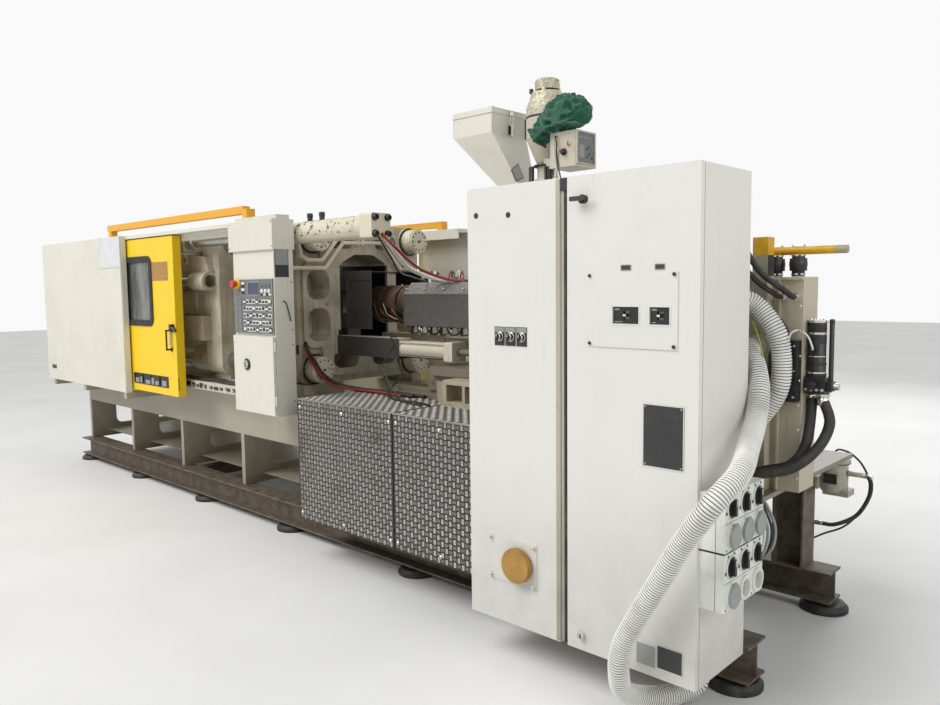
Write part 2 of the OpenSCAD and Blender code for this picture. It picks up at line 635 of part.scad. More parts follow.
HOSE_C = [
  [40, 1606, 640], [50, 1606, 640], [60, 1606, 640], [80, 1600, 610], [75, 1590, 540],
  [30, 1560, 450], [-50, 1515, 402], [-110, 1500, 400], [-130, 1500, 400], [-150, 1500, 400]];

module cabinet_hose() shop() color([0.85, 0.85, 0.83]) hose(CONDUIT, 78, 2);
module rear_conduit() shop() color([0.85, 0.85, 0.83]) hose(CONDUIT_B, 74, 2);

module oil_hoses() shop() color([0.05, 0.05, 0.05]) {
  hose(HOSE_A, 40, 2);
  hose(HOSE_B, 40, 2);
  hose(HOSE_C, 20, 2);
}

module moving_platen() shop() color([0.8, 0.77, 0.67]) {
  x1 = moving_face_x;
  xs = x1 - moving_slab;
  x0 = x1 - moving_depth;
  side = [[x0 + 20, 1380], [xs, 1380], [xs, 1760], [xs - 60, 1830], [x0 + 80, 1835], [x0 + 20, 1790]];
  difference() {
    union() {
      slabx(xs, x1, axis_y, axis_z, 2 * platen_half, 2 * platen_half, 80);
      for (y = [T0, T1], z = [B0, B1]) cylx(x0 + 150, xs, y, z, tie_d + 80);
      slabx(x0, xs, axis_y, axis_z, 660, 700, 60);
      pully(P0 + 10, P0 + 70, side);
      pully(P1 - 70, P1 - 10, side);
      for (z = [1400, 1700]) box(x0 + 20, xs, P0 + 40, P1 - 40, z, z + 40);
      cylx(x1 - 280, x1 - 60, bar_y, bar_z, 136);
      pully(P0 - 45, P0 + 12, [
        [x0 + 40, 1720], [x0 + 40, 1800], [x0 + 100, 1846], [x1 - 110, 1806],
        [x1 - 62, 1700], [x1 - 160, bar_z + 60], [x1 - 280, bar_z + 60]
      ]);
      cyly(P0 - 60, P0 + 20, -4292, 1787, 80);
      box(x0 + 20, x1 - 140, P0 - 66, P0 + 12, 1206, 1382);
      box(x0 + 5, x1 - 335, P0 - 12, P0 + 12, 1395, 1560);
      box(x1 - 330, x1 - 260, trav_y - 60, P0 + 30, trav_z - 60, trav_z + 60);
      box(x1 - 330, x1 - 260, P1 - 30, trav_y2 + 60, trav_z2 - 60, trav_z2 + 60);
    }
    tie_bores(x0 - 1, x1 + 1, tie_d + 2 * run_gap);
    mould_holes(x1 - 55, x1 + 1);
    slabx(x0 + 90, xs + 1, axis_y, axis_z, 480, 420, 40);
    for (i = [-1, 1], j = [-1, 1])
      cylx(xs - 1, x1 + 1, axis_y + i * 105, axis_z + j * 175, 32 + 2 * run_gap);
    cylx(xs - 1, x1 + 1, axis_y, axis_z, 60 + 2 * run_gap);
    cylx(x0 - 1, x0 + 91, axis_y, axis_z, 60 + 2 * run_gap);
    cylx(x1 - 200, x1 - 59, bar_y, bar_z, 92);
    cyly(P0 - 61, P0 + 30, -4292, 1787, 36);
    cylx(x1 - 331, x1 - 259, trav_y, trav_z, 50 + 2 * run_gap);
    cylx(x1 - 331, x1 - 259, trav_y2, trav_z2, 50 + 2 * run_gap);
    for (i = [-1, 1]) cyly(P0 - 14, P0 - 2, x0 + 130 + i * 40, 1480, 16);
  }
  for (y = [T0, T1]) box(xs, x1, y - 38, y + 38, 925.3, Q0 + 20);
}

module clamp_ram() shop() color([0.75, 0.76, 0.77]) {
  x0 = moving_face_x - moving_depth;
  lug = moving_face_x - 330;
  difference() {
    cylx(ram_x0, x0, axis_y, axis_z, ram_d);
    cylx(x0 - 320, x0 + 1, axis_y, axis_z, 60 + 2 * run_gap);
  }
  cylx(ram_x0, moving_face_x - 280, bar_y, bar_z, 64);
  for (p = [[trav_y, trav_z], [trav_y2, trav_z2]]) {
    cylx(lug - 50, -2700, p[0], p[1], 50);
    cylx(lug - 40, lug, p[0], p[1], 84);
    cylx(lug + 70, -2720, p[0], p[1], 70);
    cylx(lug + 70, lug + 150, p[0], p[1], 100);
    cylx(-2720, -2680, p[0], p[1], trav_d - 30 - 2 * run_gap);
  }
}

module ejector() shop() color([0.6, 0.6, 0.6]) {
  xs = moving_face_x - moving_slab;
  x0 = moving_face_x - moving_depth;
  slabx(xs - 200, xs - 150, axis_y, axis_z, 440, 390, 20);
  for (i = [-1, 1], j = [-1, 1]) cylx(xs - 150, moving_face_x - 6, axis_y + i * 105, axis_z + j * 175, 32);
  cylx(x0 - 140, moving_face_x - 6, axis_y, axis_z, 60);
}

// A sliding guard door shell with a window opening
module door_shell(x0, x1, y0, y1, open) {
  difference() {
    box(x0, x1, y0, y1, door_z0, door_z1);
    if (open > 0) box(x0 + 3, x1 - 3, y0 + 3, y1 + 1, door_z0 + 3, door_z1 - 3);
    if (open < 0) box(x0 + 3, x1 - 3, y0 - 1, y1 - 3, door_z0 + 3, door_z1 - 3);
    slaby(y0 - 1, y1 + 1, x1 - 905, 1565, 1090, 470, 50);
    slaby(y0 - 1, y1 + 1, x1 - 430, 905, 560, 70, 4);
  }
}

module front_door() shop() color([0.93, 0.74, 0.05]) {
  y1 = door_y + door_t;
  door_shell(door_x0, door_x1, door_y, y1, 1);
  difference() {
    slaby(door_y - 5, door_y + 10, door_x1 - 905, 1565, 1130, 510, 60);
    slaby(door_y - 6, door_y + 11, door_x1 - 905, 1565, 1060, 440, 40);
  }
  slaby(door_y + 2.9, door_y + 7, door_x1 - 430, 905, 570, 80, 4);
  for (x = [door_x0 + 200, door_x1 - 200])
    box(x - 40, x + 40, y1 - 22, y1 + 9.7, door_z1 - 4, guard_z1 - 25.3);
  pipe([[door_x1 - 72, door_y + 2, 1150], [door_x1 - 72, door_y - 38, 1150],
    [door_x1 - 72, door_y - 38, 1285], [door_x1 - 72, door_y + 2, 1285]], 12);
}

module front_pane() shop() color([0.35, 0.37, 0.38]) {
  slaby(door_y + 10.1, door_y + 15, door_x1 - 905, 1565, 1100, 480, 50);
}

module rear_door() shop() color([0.93, 0.74, 0.05]) {
  y1 = rear_y - 50;
  y0 = y1 - door_t;
  x1 = fixed_face_x + 18;
  door_shell(x1 - door_w, x1, y0, y1, -1);
  slaby(y1 - 8, y1 - 2.9, x1 - 905, 1565, 1100, 480, 50);
  slaby(y1 - 7, y1 - 2.9, x1 - 430, 905, 570, 80, 4);
  for (x = [x1 - door_w + 200, x1 - 200])
    box(x - 40, x + 40, rear_y - 119.7, y0 + 22, door_z1 - 4, guard_z1 - 25.3);
}

module column_cover() shop() color([0.83, 0.81, 0.73]) {
  difference() {
    box(col_x0 + 34, col_x1 - 6, col_y - 18, col_y - 0.3, 822, 1290);
    for (z = [880, 1200]) cylz(z - 2, z + 62, col_x1 - 1, col_y - 8, 18);
  }
  cyly(col_y - 21, col_y - 18, -3046, 1115, 64);
  cyly(col_y - 27, col_y - 21, -3046, 1115, 44);
}

module estop_button() shop() color([0.75, 0.1, 0.1]) {
  cyly(col_y - 50, col_y - 28, estop_x, 1606, 44);
  cyly(col_y - 28, col_y - 0.3, estop_x, 1606, 16);
}

// A pan shaped cabinet door
module pan(x0, x1) {
  difference() {
    box(x0, x1, 0, cab_door_t, cab_z0, cab_z1);
    box(x0 + 3, x1 - 3, 3, cab_door_t - 3, cab_z0 + 3, cab_z1 - 3);
    box(x0 + 30, x1 - 30, 3, cab_door_t + 1, cab_z0 + 30, cab_z1 - 30);
  }
}

module cab_door_left() shop() color([0.9, 0.89, 0.84]) {
  difference() {
    pan(-cab_w, door_split0);
    for (i = [0 : 2]) cyly(-1, 20, -875 + 58 * i, 1370, 14 + 2 * run_gap);
    cyly(-1, 20, -777, 440, 30 + 2 * run_gap);
    for (p = [[-827, 1856], [-1001, 1864]]) cyly(-1, 4, p[0], p[1], 18);
  }
  for (i = [0 : 2]) difference() {
    box(-903 + 58 * i, -848 + 58 * i, -2, 0, 1333, 1411);
    cyly(-3, 1, -875 + 58 * i, 1370, 14 + 2 * run_gap);
  }
  difference() {
    box(-941, -688, -4, 0, 352, 540);
    cyly(-5, 1, -777, 440, 30 + 2 * run_gap);
  }
  for (x = [-928, -701], z = [365, 527]) cyly(-10, -4, x, z, 14);
}

module cab_door_right() shop() color([0.9, 0.89, 0.84]) {
  difference() {
    union() {
      pan(door_split1, 0);
      box(-444, -78, -4, 0, 1350, 1620);
      box(-345, -218, 3, 20, 1426, 1506);
      box(-195, -98, 3, 20, 1426, 1506);
    }
    box(-335, -228, -5, 14, 1436, 1496);
    box(-185, -108, -5, 14, 1436, 1496);
    cyly(-1, 20, -466, 1888, 18 + 2 * run_gap);
  }
  for (x = [-432, -90], z = [1362, 1608]) cyly(-7, -4, x, z, 12);
  cyly(-6, 0, -470, 235, 26);
}

module t_handle() shop() color([0.6, 0.6, 0.6]) {
  cyly(-26, 18, -466, 1888, 18);
  cyly(-8, -0.5, -466, 1888, 34);
  box(-500, -432, -40, -26, 1880, 1896);
  box(-474, -458, 14, 22, 1840, 1896);
}

module door_disc() shop() color([0.72, 0.55, 0.25]) {
  cyly(-38, -10, -777, 440, 138);
  cyly(-30, -18, -777, 440, 144);
  cyly(-10, 16, -777, 440, 30);
  cyly(-10, -4.5, -777, 440, 110);
}

// A rotary selector knob
module selector(i) {
  x = -875 + 58 * i;
  cyly(-14, -2.5, x, 1370, 30);
  cyly(-14, 16, x, 1370, 14);
  box(x - 4, x + 4, -24, -14, 1357, 1383);
}

module selector_1() shop() color([0.1, 0.1, 0.1]) selector(0);
module selector_2() shop() color([0.1, 0.1, 0.1]) selector(1);
module selector_3() shop() color([0.1, 0.1, 0.1]) selector(2);

// A breaker's toggle in its window
module toggle(x) {
  cylx(x - 9, x + 9, 7.7, 1466, 12);
  box(x - 7, x + 7, -12, 5, 1462, 1471);
}

module breaker_1() shop() color([0.06, 0.06, 0.06]) toggle(-281);
module breaker_2() shop() color([0.06, 0.06, 0.06]) toggle(-146);

// An outlet's rotary switch: row 0 is the upper one
module dial(r, c) {
  y = outlet_y0 + c * outlet_pitch + outlet_w / 2;
  z = outlet_z[r] + 148;
  cylx(outlet_d - 28, outlet_d - 7, y, z, 12);
  cylx(outlet_d - 7.5, outlet_d + 4, y, z, 62);
  box(outlet_d + 4, outlet_d + 18, y - 7, y + 7, z - 28, z + 28);
}

module dial_1() shop() color([0.12, 0.12, 0.13]) dial(0, 0);
module dial_2() shop() color([0.12, 0.12, 0.13]) dial(0, 1);
module dial_3() shop() color([0.12, 0.12, 0.13]) dial(0, 2);
module dial_4() shop() color([0.12, 0.12, 0.13]) dial(1, 0);
module dial_5() shop() color([0.12, 0.12, 0.13]) dial(1, 1);
module dial_6() shop() color([0.12, 0.12, 0.13]) dial(1, 2);

// An outlet's round flap
module cap(r, c) {
  y = outlet_y0 + c * outlet_pitch + outlet_w / 2;
  z = outlet_z[r] + 50;
  cylx(outlet_d + 10.5, outlet_d + 18, y, z, 82);
  box(outlet_d + 10.5, outlet_d + 18, y - 14, y + 14, z + 30, z + 44);
}

module cap_1() shop() color([0.6, 0.6, 0.6]) cap(0, 0);
module cap_2() shop() color([0.6, 0.6, 0.6]) cap(0, 1);
module cap_3() shop() color([0.6, 0.6, 0.6]) cap(0, 2);
module cap_4() shop() color([0.6, 0.6, 0.6]) cap(1, 0);

module hopper_lid() shop() color([0.86, 0.84, 0.74]) {
  x1 = -1630;
  x0 = x1 - hopper_w;
  y0 = axis_y - hopper_w / 2;
  difference() {
    box(x0 - 4, x1 + 4, y0 - 4, y0 + hopper_w + 4, hopper_z1 - 16, hopper_z1 + 14);
    box(x0 - 1, x1 + 1, y0 - 1, y0 + hopper_w + 1, hopper_z1 - 17, hopper_z1 + run_gap);
  }
}

module carriage() shop() color([0.78, 0.75, 0.65]) {
  for (y = [axis_y - 300, axis_y + 200]) box(-2000, -560, y + 4, y + 96, 990.3, 1080);
  box(-1950, -560, axis_y - 330, axis_y + 330, 1080, 1130);
  difference() {
    union() {
      slabx(-1560, -1240, axis_y, axis_z, 640, 360, 40);
      box(-1560, -1240, axis_y - 200, axis_y + 200, 1130, axis_z - 120);
      box(-800, -740, axis_y - 300, axis_y + 300, 1130, axis_z + 126);
    }
    cylx(-1561, -1239, axis_y, axis_z, barrel_d - 30 + 2 * run_gap);
    cylz(axis_z, axis_z + 200, feed_x, axis_y, 90);
    cylx(-801, -739, axis_y, axis_z, 200);
    for (s = [-1, 1]) cylx(-801, -739, axis_y + s * 230, axis_z, 159);
  }
  for (s = [-1, 1]) difference() {
    cylx(-1240, -740, axis_y + s * 230, axis_z, 160);
    cylx(-1200, -739, axis_y + s * 230, axis_z, 120);
  }
  for (s = [-1, 1]) {
    y = axis_y + s * car_s;
    box(car_x1 + 310, car_x1 + 370, y - 40, y + 40, 1129, car_z + 50);
    cylx(car_x0 + 278, car_x1 + 310, y, car_z, 40);
    cylx(car_x0 + 248, car_x0 + 278, y, car_z, 70 - 2 * run_gap);
  }
}

module barrel() shop() color([0.3, 0.27, 0.25]) {
  difference() {
    union() {
      cylx(barrel_x0, -1240, axis_y, axis_z, barrel_d - 30);
      for (x = [barrel_x0 + 10 : 150 : -1700]) cylx(x, x + 130, axis_y, axis_z, barrel_d);
      conex(barrel_x0 - 70, barrel_x0, axis_y, axis_z, 110, 170);
      cylx(barrel_x0 - 190, barrel_x0 - 70, axis_y, axis_z, 70);
      cylx(barrel_x0 - 170, barrel_x0 - 80, axis_y, axis_z, 90);
      conex(barrel_x0 - 210, barrel_x0 - 190, axis_y, axis_z, 40, 70);
    }
    cylx(barrel_x0 + 8, -1239, axis_y, axis_z, screw_d + 2 * run_gap);
    cylx(barrel_x0 - 211, barrel_x0 + 9, axis_y, axis_z, 10);
    cylz(axis_z, axis_z + 120, feed_x, axis_y, 62);
  }
}

module barrel_cover() shop() color([0.55, 0.55, 0.55]) {
  y0 = cover_y0;
  y1 = cover_y1;
  c = 70;
  pullx(-2350, -1565, [
    [y0, 1340], [y0 + 4, 1340], [y0 + 4, 1529], [y0 + c + 2, 1596], [y1 - c - 2, 1596],
    [y1 - 4, 1529], [y1 - 4, 1340], [y1, 1340], [y1, 1531], [y1 - c, 1600], [y0 + c, 1600], [y0, 1531]
  ]);
  for (x = [-2330, -1960, -1600]) box(x, x + 20, y0 + 4, axis_y - 112, 1400, 1430);
  for (x = [-2330, -1960, -1600]) box(x, x + 20, axis_y + 112, y1 - 4, 1400, 1430);
}

module hopper() shop() color([0.84, 0.82, 0.72]) {
  x1 = -1630;
  x0 = x1 - hopper_w;
  y0 = axis_y - hopper_w / 2;
  y1 = y0 + hopper_w;
  zb = hopper_z1 - 120;
  difference() {
    union() {
      box(x0, x1, y0, y1, zb, hopper_z1);
      funnel(x0, x1, y0, y1, zb, 0);
    }
    box(x0 + 3, x1 - 3, y0 + 3, y1 - 3, zb - 0.5, hopper_z1 + 1);
    funnel(x0, x1, y0, y1, zb, 3);
  }
  difference() {
    cylz(1960, 2009, -1505, axis_y, 96);
    cylz(1959, 2010, -1505, axis_y, 84);
  }
  difference() {
    box(-1560, -1420, axis_y - 50, axis_y + 50, 1900, 1960);
    box(-1554, -1419, axis_y - 44, axis_y + 44, 1906, 1954);
    cylz(1950, 1961, -1505, axis_y, 84);
  }
}

// The leaning pyramid under the hopper
module funnel(x0, x1, y0, y1, zb, t) {
  a = [[x0 + t, y0 + t], [x1 - t, y0 + t], [x1 - t, y1 - t], [x0 + t, y1 - t]];
  h = 45 - t;
  b = [[-1505 - h, axis_y - h], [-1505 + h, axis_y - h], [-1505 + h, axis_y + h], [-1505 - h, axis_y + h]];
  e = t > 0 ? 1 : 0;
  polyhedron([for (p = b) [p[0], p[1], 2008 - e], for (p = a) [p[0], p[1], zb + e / 4]], [
    [0, 1, 2, 3], [7, 6, 5, 4], [0, 4, 5, 1], [1, 5, 6, 2], [2, 6, 7, 3], [3, 7, 4, 0]]);
}

module dryer() shop() color([0.8, 0.78, 0.7]) {
  x = -1365;
  top = axis_z + 180;
  difference() {
    union() {
      cylz(2340, 2500, x, axis_y, dryer_d);
      translate([x, axis_y, 2210]) cylinder(d1 = 112, d2 = dryer_d, h = 130);
      translate([x, axis_y, 2499]) cylinder(d1 = dryer_d, d2 = dryer_d - 34, h = 42);
      translate([x, axis_y, 2540]) cylinder(d1 = dryer_d - 34, d2 = dryer_d - 60, h = 41);
      cylz(2580, 2594, x, axis_y, 108);
      cylz(2594, 2640, x, axis_y, 130);
      translate([x, axis_y, 2640]) cylinder(d1 = 130, d2 = 104, h = 8);
      cylz(1700, 2212, x, axis_y, 110);
      box(-1450, -1300, axis_y - 90, axis_y + 90, top, 1700);
      box(-1420, x, axis_y - 54, axis_y + 54, 1894, 1966);
    }
    cylz(1690, 2560, x, axis_y, 84);
    cylz(2345, 2480, x, axis_y, dryer_d - 40);
    cylz(top - 1, 1691, feed_x, axis_y, 70);
    box(-1421, x, axis_y - 40, axis_y + 40, 1906, 1954);
  }
  box(-1192, -1041, 750, 915, 2160, 2322);
  box(-1340, -1191, 890, 930, 2190, 2230);
}

module dust_bag() shop() color([0.05, 0.4, 0.28]) {
  hull() {
    translate([-1180, 800, 2369.8]) sphere(d = 95);
    translate([-1110, 800, 2385]) sphere(d = 110);
    translate([-1150, 800, 2470]) sphere(d = 90);
  }
}

module screw() shop() color([0.7, 0.7, 0.72]) {
  cylx(barrel_x0 + 60, -560, axis_y, axis_z, screw_d - 12);
  for (x = [barrel_x0 + 80 : 70 : -1300]) cylx(x, x + 9, axis_y, axis_z, screw_d);
  conex(barrel_x0 + 12, barrel_x0 + 60, axis_y, axis_z, 12, screw_d - 12);
  cylx(-620, -500.3, axis_y, axis_z, 120);
}

module injection_ram() shop() color([0.4, 0.4, 0.42]) {
  difference() {
    slabx(-560, -460, axis_y, axis_z, 600, 300, 30);
    cylx(-561, -499, axis_y, axis_z, 120 + 2 * run_gap);
  }
  cylx(-460, -210, axis_y, axis_z, 250);
  for (s = [-1, 1]) {
    cylx(-1000, -560, axis_y + s * 230, axis_z, 70);
    cylx(-1030, -1000, axis_y + s * 230, axis_z, 120 - 2 * run_gap);
  }
}

module purge_guard() shop() color([0.3, 0.3, 0.3]) {
  y0 = 740;
  y1 = purge_y - 10;
  z1 = purge_z + 6;
  box(purge_x0, purge_x1, y0, y0 + 4, 1312, z1);
  box(purge_x0, purge_x1, y0, y1 + 2, z1 - 4, z1);
  box(purge_x0, purge_x1, y1 - 4, y1, z1 - 110, z1);
  box(purge_x0, purge_x1, y0 - 6, y0 + 1, 1622, z1 + 6);
  box(purge_x0, purge_x0 + 22, y0 - 3, y0 + 1, 1312, 1622);
  for (x = [purge_x0 + 5, purge_x1 - 45]) difference() {
    cylx(x, x + 40, purge_y, purge_z, 24);
    cylx(x - 1, x + 41, purge_y, purge_z, 14 + 2 * run_gap);
  }
}

bed();
floor_beams();
levelling_pads();
stationary_platen();
cylinder_platen();
tie_bars();
hydraulic_cylinders();
front_guard();
rear_guard();
control_column();
operator_panel();
top_beams();
tread_plates();
cabinet_body();
switchgear();
outlet_boxes();
injection_base();
power_pack();
valve_stack();
rear_housing();
cabinet_hose();
rear_conduit();
oil_hoses();
moving_platen();
clamp_ram();
ejector();
front_door();
front_pane();
rear_door();
column_cover();
estop_button();
cab_door_left();
cab_door_right();
t_handle();
door_disc();
selector_1();
selector_2();
selector_3();
breaker_1();
breaker_2();
dial_1();
dial_2();
dial_3();
dial_4();
dial_5();
dial_6();
cap_1();
cap_2();
cap_3();
cap_4();
hopper_lid();
carriage();
barrel();
barrel_cover();
hopper();
dryer();
dust_bag();
screw();
injection_ram();
purge_guard();
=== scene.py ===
# %% [markdown]
# # Dressing a horizontal injection moulding machine
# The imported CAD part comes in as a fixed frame: one object for each node, in metres, which already
# moves with its body. This lesson lights it, paints every node with a worn finish and adds the small
# things that a CAD part leaves out: ribs on the hoses, screws, keys, gaskets, cables and stains.

# %% Load the frame
import bmesh
import bpy
import math
import random
from itertools import product
from mathutils import Matrix, Vector, noise


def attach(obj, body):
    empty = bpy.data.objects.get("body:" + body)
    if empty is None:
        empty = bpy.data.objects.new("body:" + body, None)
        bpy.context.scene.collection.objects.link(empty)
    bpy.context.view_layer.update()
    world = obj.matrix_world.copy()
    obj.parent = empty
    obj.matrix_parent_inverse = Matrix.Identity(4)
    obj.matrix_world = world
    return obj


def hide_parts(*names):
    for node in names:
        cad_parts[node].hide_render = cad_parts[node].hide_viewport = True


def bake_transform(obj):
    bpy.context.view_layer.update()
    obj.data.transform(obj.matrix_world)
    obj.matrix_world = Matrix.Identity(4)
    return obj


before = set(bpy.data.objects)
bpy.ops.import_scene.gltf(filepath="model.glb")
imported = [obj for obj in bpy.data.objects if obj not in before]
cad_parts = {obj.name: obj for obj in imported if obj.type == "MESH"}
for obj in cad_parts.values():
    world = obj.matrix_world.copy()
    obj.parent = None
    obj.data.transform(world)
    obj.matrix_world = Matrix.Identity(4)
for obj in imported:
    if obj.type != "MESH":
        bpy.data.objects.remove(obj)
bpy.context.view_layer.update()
random.seed(7)

# %% [markdown]
# The drawing counts millimetres from the cabinet's right front corner, because that is the corner
# that is easy to measure on the real machine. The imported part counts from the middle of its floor
# box. One function turns a drawing place into a scene place, so every piece below can be written
# with the numbers of the drawing. The names beside it are the ways that a screw can point, and the
# lines that many pieces share: the axis of the barrel, the tie bars, the dryer and the funnel.

# %% Places on the drawing
ORIGIN = (-3130, 865)
UP, FRONT, BACK, RIGHT = (0, 0, 1), (0, -1, 0), (0, 1, 0), (1, 0, 0)
AXIS_Y, AXIS_Z = 955, 1474
TIE_Y, TIE_Z = (540, 1370), (1059, 1889)
DRYER_X, FUNNEL_X = -1365, -1505


def at(x, y, z):
    return Vector(((x - ORIGIN[0]) / 1000, (y - ORIGIN[1]) / 1000, z / 1000))


print("cabinet corner is at", at(0, 0, 0))

# %% [markdown]
# The camera stands to the right of the operator, a little above a person's chest, and looks down
# the machine with a moderately wide lens. Its turn is written as yaw, pitch and roll, and the three
# axes made from them fill a matrix: Blender's camera looks along its own -Z.

# %% The camera
def camera_matrix(place, yaw, pitch, roll):
    ahead = Vector((-math.sin(yaw) * math.cos(pitch), math.cos(yaw) * math.cos(pitch), math.sin(pitch)))
    level = ahead.cross(Vector((0, 0, 1))).normalized()
    upright = level.cross(ahead)
    right = math.cos(roll) * level + math.sin(roll) * upright
    up = -math.sin(roll) * level + math.cos(roll) * upright
    turn = Matrix((right, up, -ahead)).transposed().to_4x4()
    return Matrix.Translation(place) @ turn


lens = bpy.data.cameras.new("camera")
lens.sensor_width = 36
lens.lens = 29.998
lens.clip_end = 100
camera = bpy.data.objects.new("camera", lens)
camera.matrix_world = camera_matrix(at(1224.03, -2397.88, 1575.91), yaw=0.7577, pitch=-0.0847,
                                    roll=-0.0118)
bpy.context.scene.collection.objects.link(camera)
bpy.context.scene.camera = camera
print("camera at", camera.matrix_world.translation)

# %% [markdown]
# A finish is a small node graph. Writing the same five lines for each node soon hides the idea, so a
# little helper adds a node, sets its numbers and links what is handed to it. On top of it stand the
# few steps that all finishes share: noise, soft steps, a spread of values, sums, blends and bumps.
# Colours are written as they look on screen and turned into Blender's linear values once, here.

# %% A helper for node graphs
def linear(colour):
    return tuple(c / 12.92 if c <= 0.04045 else ((c + 0.055) / 1.055) ** 2.4 for c in colour) + (1.0,)


class Finish:
    def __init__(self, name):
        self.material = bpy.data.materials.new(name)
        self.material.use_nodes = True
        self.tree = self.material.node_tree
        self.shader = self.tree.nodes["Principled BSDF"]
        self.place = self.add("ShaderNodeTexCoord").outputs["Object"]

    def add(self, kind, settings=(), **sockets):
        node = self.tree.nodes.new(kind)
        for key, value in dict(settings).items():
            setattr(node, key, value)
        for key, value in sockets.items():
            self.give(node.inputs[key.replace("_", " ")], value)
        return node

    def give(self, socket, value):
        if isinstance(value, bpy.types.NodeSocket):
            self.tree.links.new(value, socket)
        else:
            socket.default_value = value

    def stretched(self, x, y, z):
        node = self.add("ShaderNodeMapping", Vector=self.place, Scale=(x, y, z))
        return node.outputs["Vector"]

    def noise(self, scale, detail=4.0, rough=0.55, place=None):
        node = self.add("ShaderNodeTexNoise", Vector=place or self.place, Scale=scale, Detail=detail,
                        Roughness=rough)
        return node.outputs["Fac"]

    def steps(self, value, low, high):
        node = self.add("ShaderNodeMapRange", {"interpolation_type": "SMOOTHSTEP"}, Value=value)
        node.inputs["From Min"].default_value = low
        node.inputs["From Max"].default_value = high
        return node.outputs["Result"]

    def spread(self, value, low, high):
        return self.add("ShaderNodeMapRange", Value=value, To_Min=low, To_Max=high).outputs["Result"]

    def join(self, operation, a, b):
        node = self.add("ShaderNodeMath", {"operation": operation})
        self.give(node.inputs[0], a)
        self.give(node.inputs[1], b)
        return node.outputs[0]

    def times(self, a, b):
        return self.join("MULTIPLY", a, b)

    def blend(self, share, a, b):
        node = self.add("ShaderNodeMix", {"data_type": "RGBA"})
        self.give(node.inputs[0], share)
        self.give(node.inputs[6], a)
        self.give(node.inputs[7], b)
        return node.outputs[2]

    def inside(self, *limits):
        apart = self.add("ShaderNodeSeparateXYZ", Vector=self.place)
        share = 1.0
        for axis, pair in enumerate(limits):
            if pair is None:
                continue
            shift = ORIGIN[axis] if axis < 2 else 0
            for limit, test in zip(pair, ("GREATER_THAN", "LESS_THAN")):
                if limit is not None:
                    passed = self.join(test, apart.outputs[axis], (limit - shift) / 1000)
                    share = self.times(share, passed)
        return share

    def zones(self, colour, areas):
        for limits, tone in areas:
            patchy = self.blend(self.noise(26.0, 6, 0.7), linear(tone), linear([t * 0.62 for t in tone]))
            colour = self.blend(self.inside(*limits), colour, patchy)
        return colour

    def bump(self, height, distance, strength=0.5, before=None):
        node = self.add("ShaderNodeBump", Height=height, Distance=distance, Strength=strength)
        if before:
            self.give(node.inputs["Normal"], before)
        self.give(self.shader.inputs["Normal"], node.outputs["Normal"])
        return node.outputs["Normal"]

    def surface(self, **sockets):
        for key, value in sockets.items():
            self.give(self.shader.inputs[key.replace("_", " ")], value)
        return self.material


print("linear mid grey", linear((0.5, 0.5, 0.5))[0])

# %% [markdown]
# Shop paint is never one colour. On this machine the cream paint is cloudy where hands and rags have
# been, has thin dark runs below every seam, and small chips where tools hit it. So the paint starts
# from one tone, a broad noise clouds it, a noise squeezed in X and Y and long in Z makes runs, and a
# fine noise cut off high leaves specks. The specks' mask also drives a bump, so the chips lie deeper
# than the paint. Some nodes have areas of another tone: each is a box of limits on the drawing, in X,
# Y and Z, with the tone that stands inside it.

# %% Worn paint
def worn_paint(name, tone, dirt=(0.36, 0.33, 0.27), runs=0.35, chips=0.0, clouds=0.25, rough=0.42,
               under=(0.22, 0.2, 0.18), low_grime=0.0, areas=(), chip_area=None):
    f = Finish(name)
    cloud = f.times(f.steps(f.noise(2.3, 5, 0.6), 0.42, 0.75), clouds)
    streak = f.times(f.steps(f.noise(7.0, 7, 0.7, f.stretched(3, 3, 0.3)), 0.56, 0.86), runs)
    smear = f.times(f.steps(f.noise(14.0, 8, 0.7), 0.56, 0.8), 0.45)
    colour = f.blend(cloud, linear(tone), linear([t * 0.8 + d * 0.2 for t, d in zip(tone, dirt)]))
    colour = f.blend(streak, colour, linear(dirt))
    colour = f.blend(f.times(smear, clouds * 1.6), colour, linear(dirt))
    roughness = f.spread(f.noise(60.0, 3), rough - 0.06, rough + 0.14)
    if low_grime:
        height = f.add("ShaderNodeSeparateXYZ", Vector=f.place).outputs["Z"]
        near_floor = f.times(f.steps(height, 1.0, 0.1), low_grime)
        colour = f.blend(f.times(near_floor, f.noise(6.0, 6, 0.7)), colour, linear(dirt))
    if chips:
        mask = f.steps(f.noise(55.0, 6, 0.75), 0.72 - chips * 0.14, 0.735 - chips * 0.14)
        if chip_area:
            more = f.times(f.inside(*chip_area), f.steps(f.noise(30.0, 7, 0.72), 0.56, 0.575))
            mask = f.join("MAXIMUM", mask, more)
        colour = f.blend(mask, colour, linear(under))
        f.bump(mask, 0.0006, 0.6, f.bump(f.noise(240.0, 2), 0.0004, 0.25))
    else:
        f.bump(f.noise(240.0, 2), 0.0004, 0.25)
    return f.surface(Base_Color=f.zones(colour, areas), Roughness=roughness)


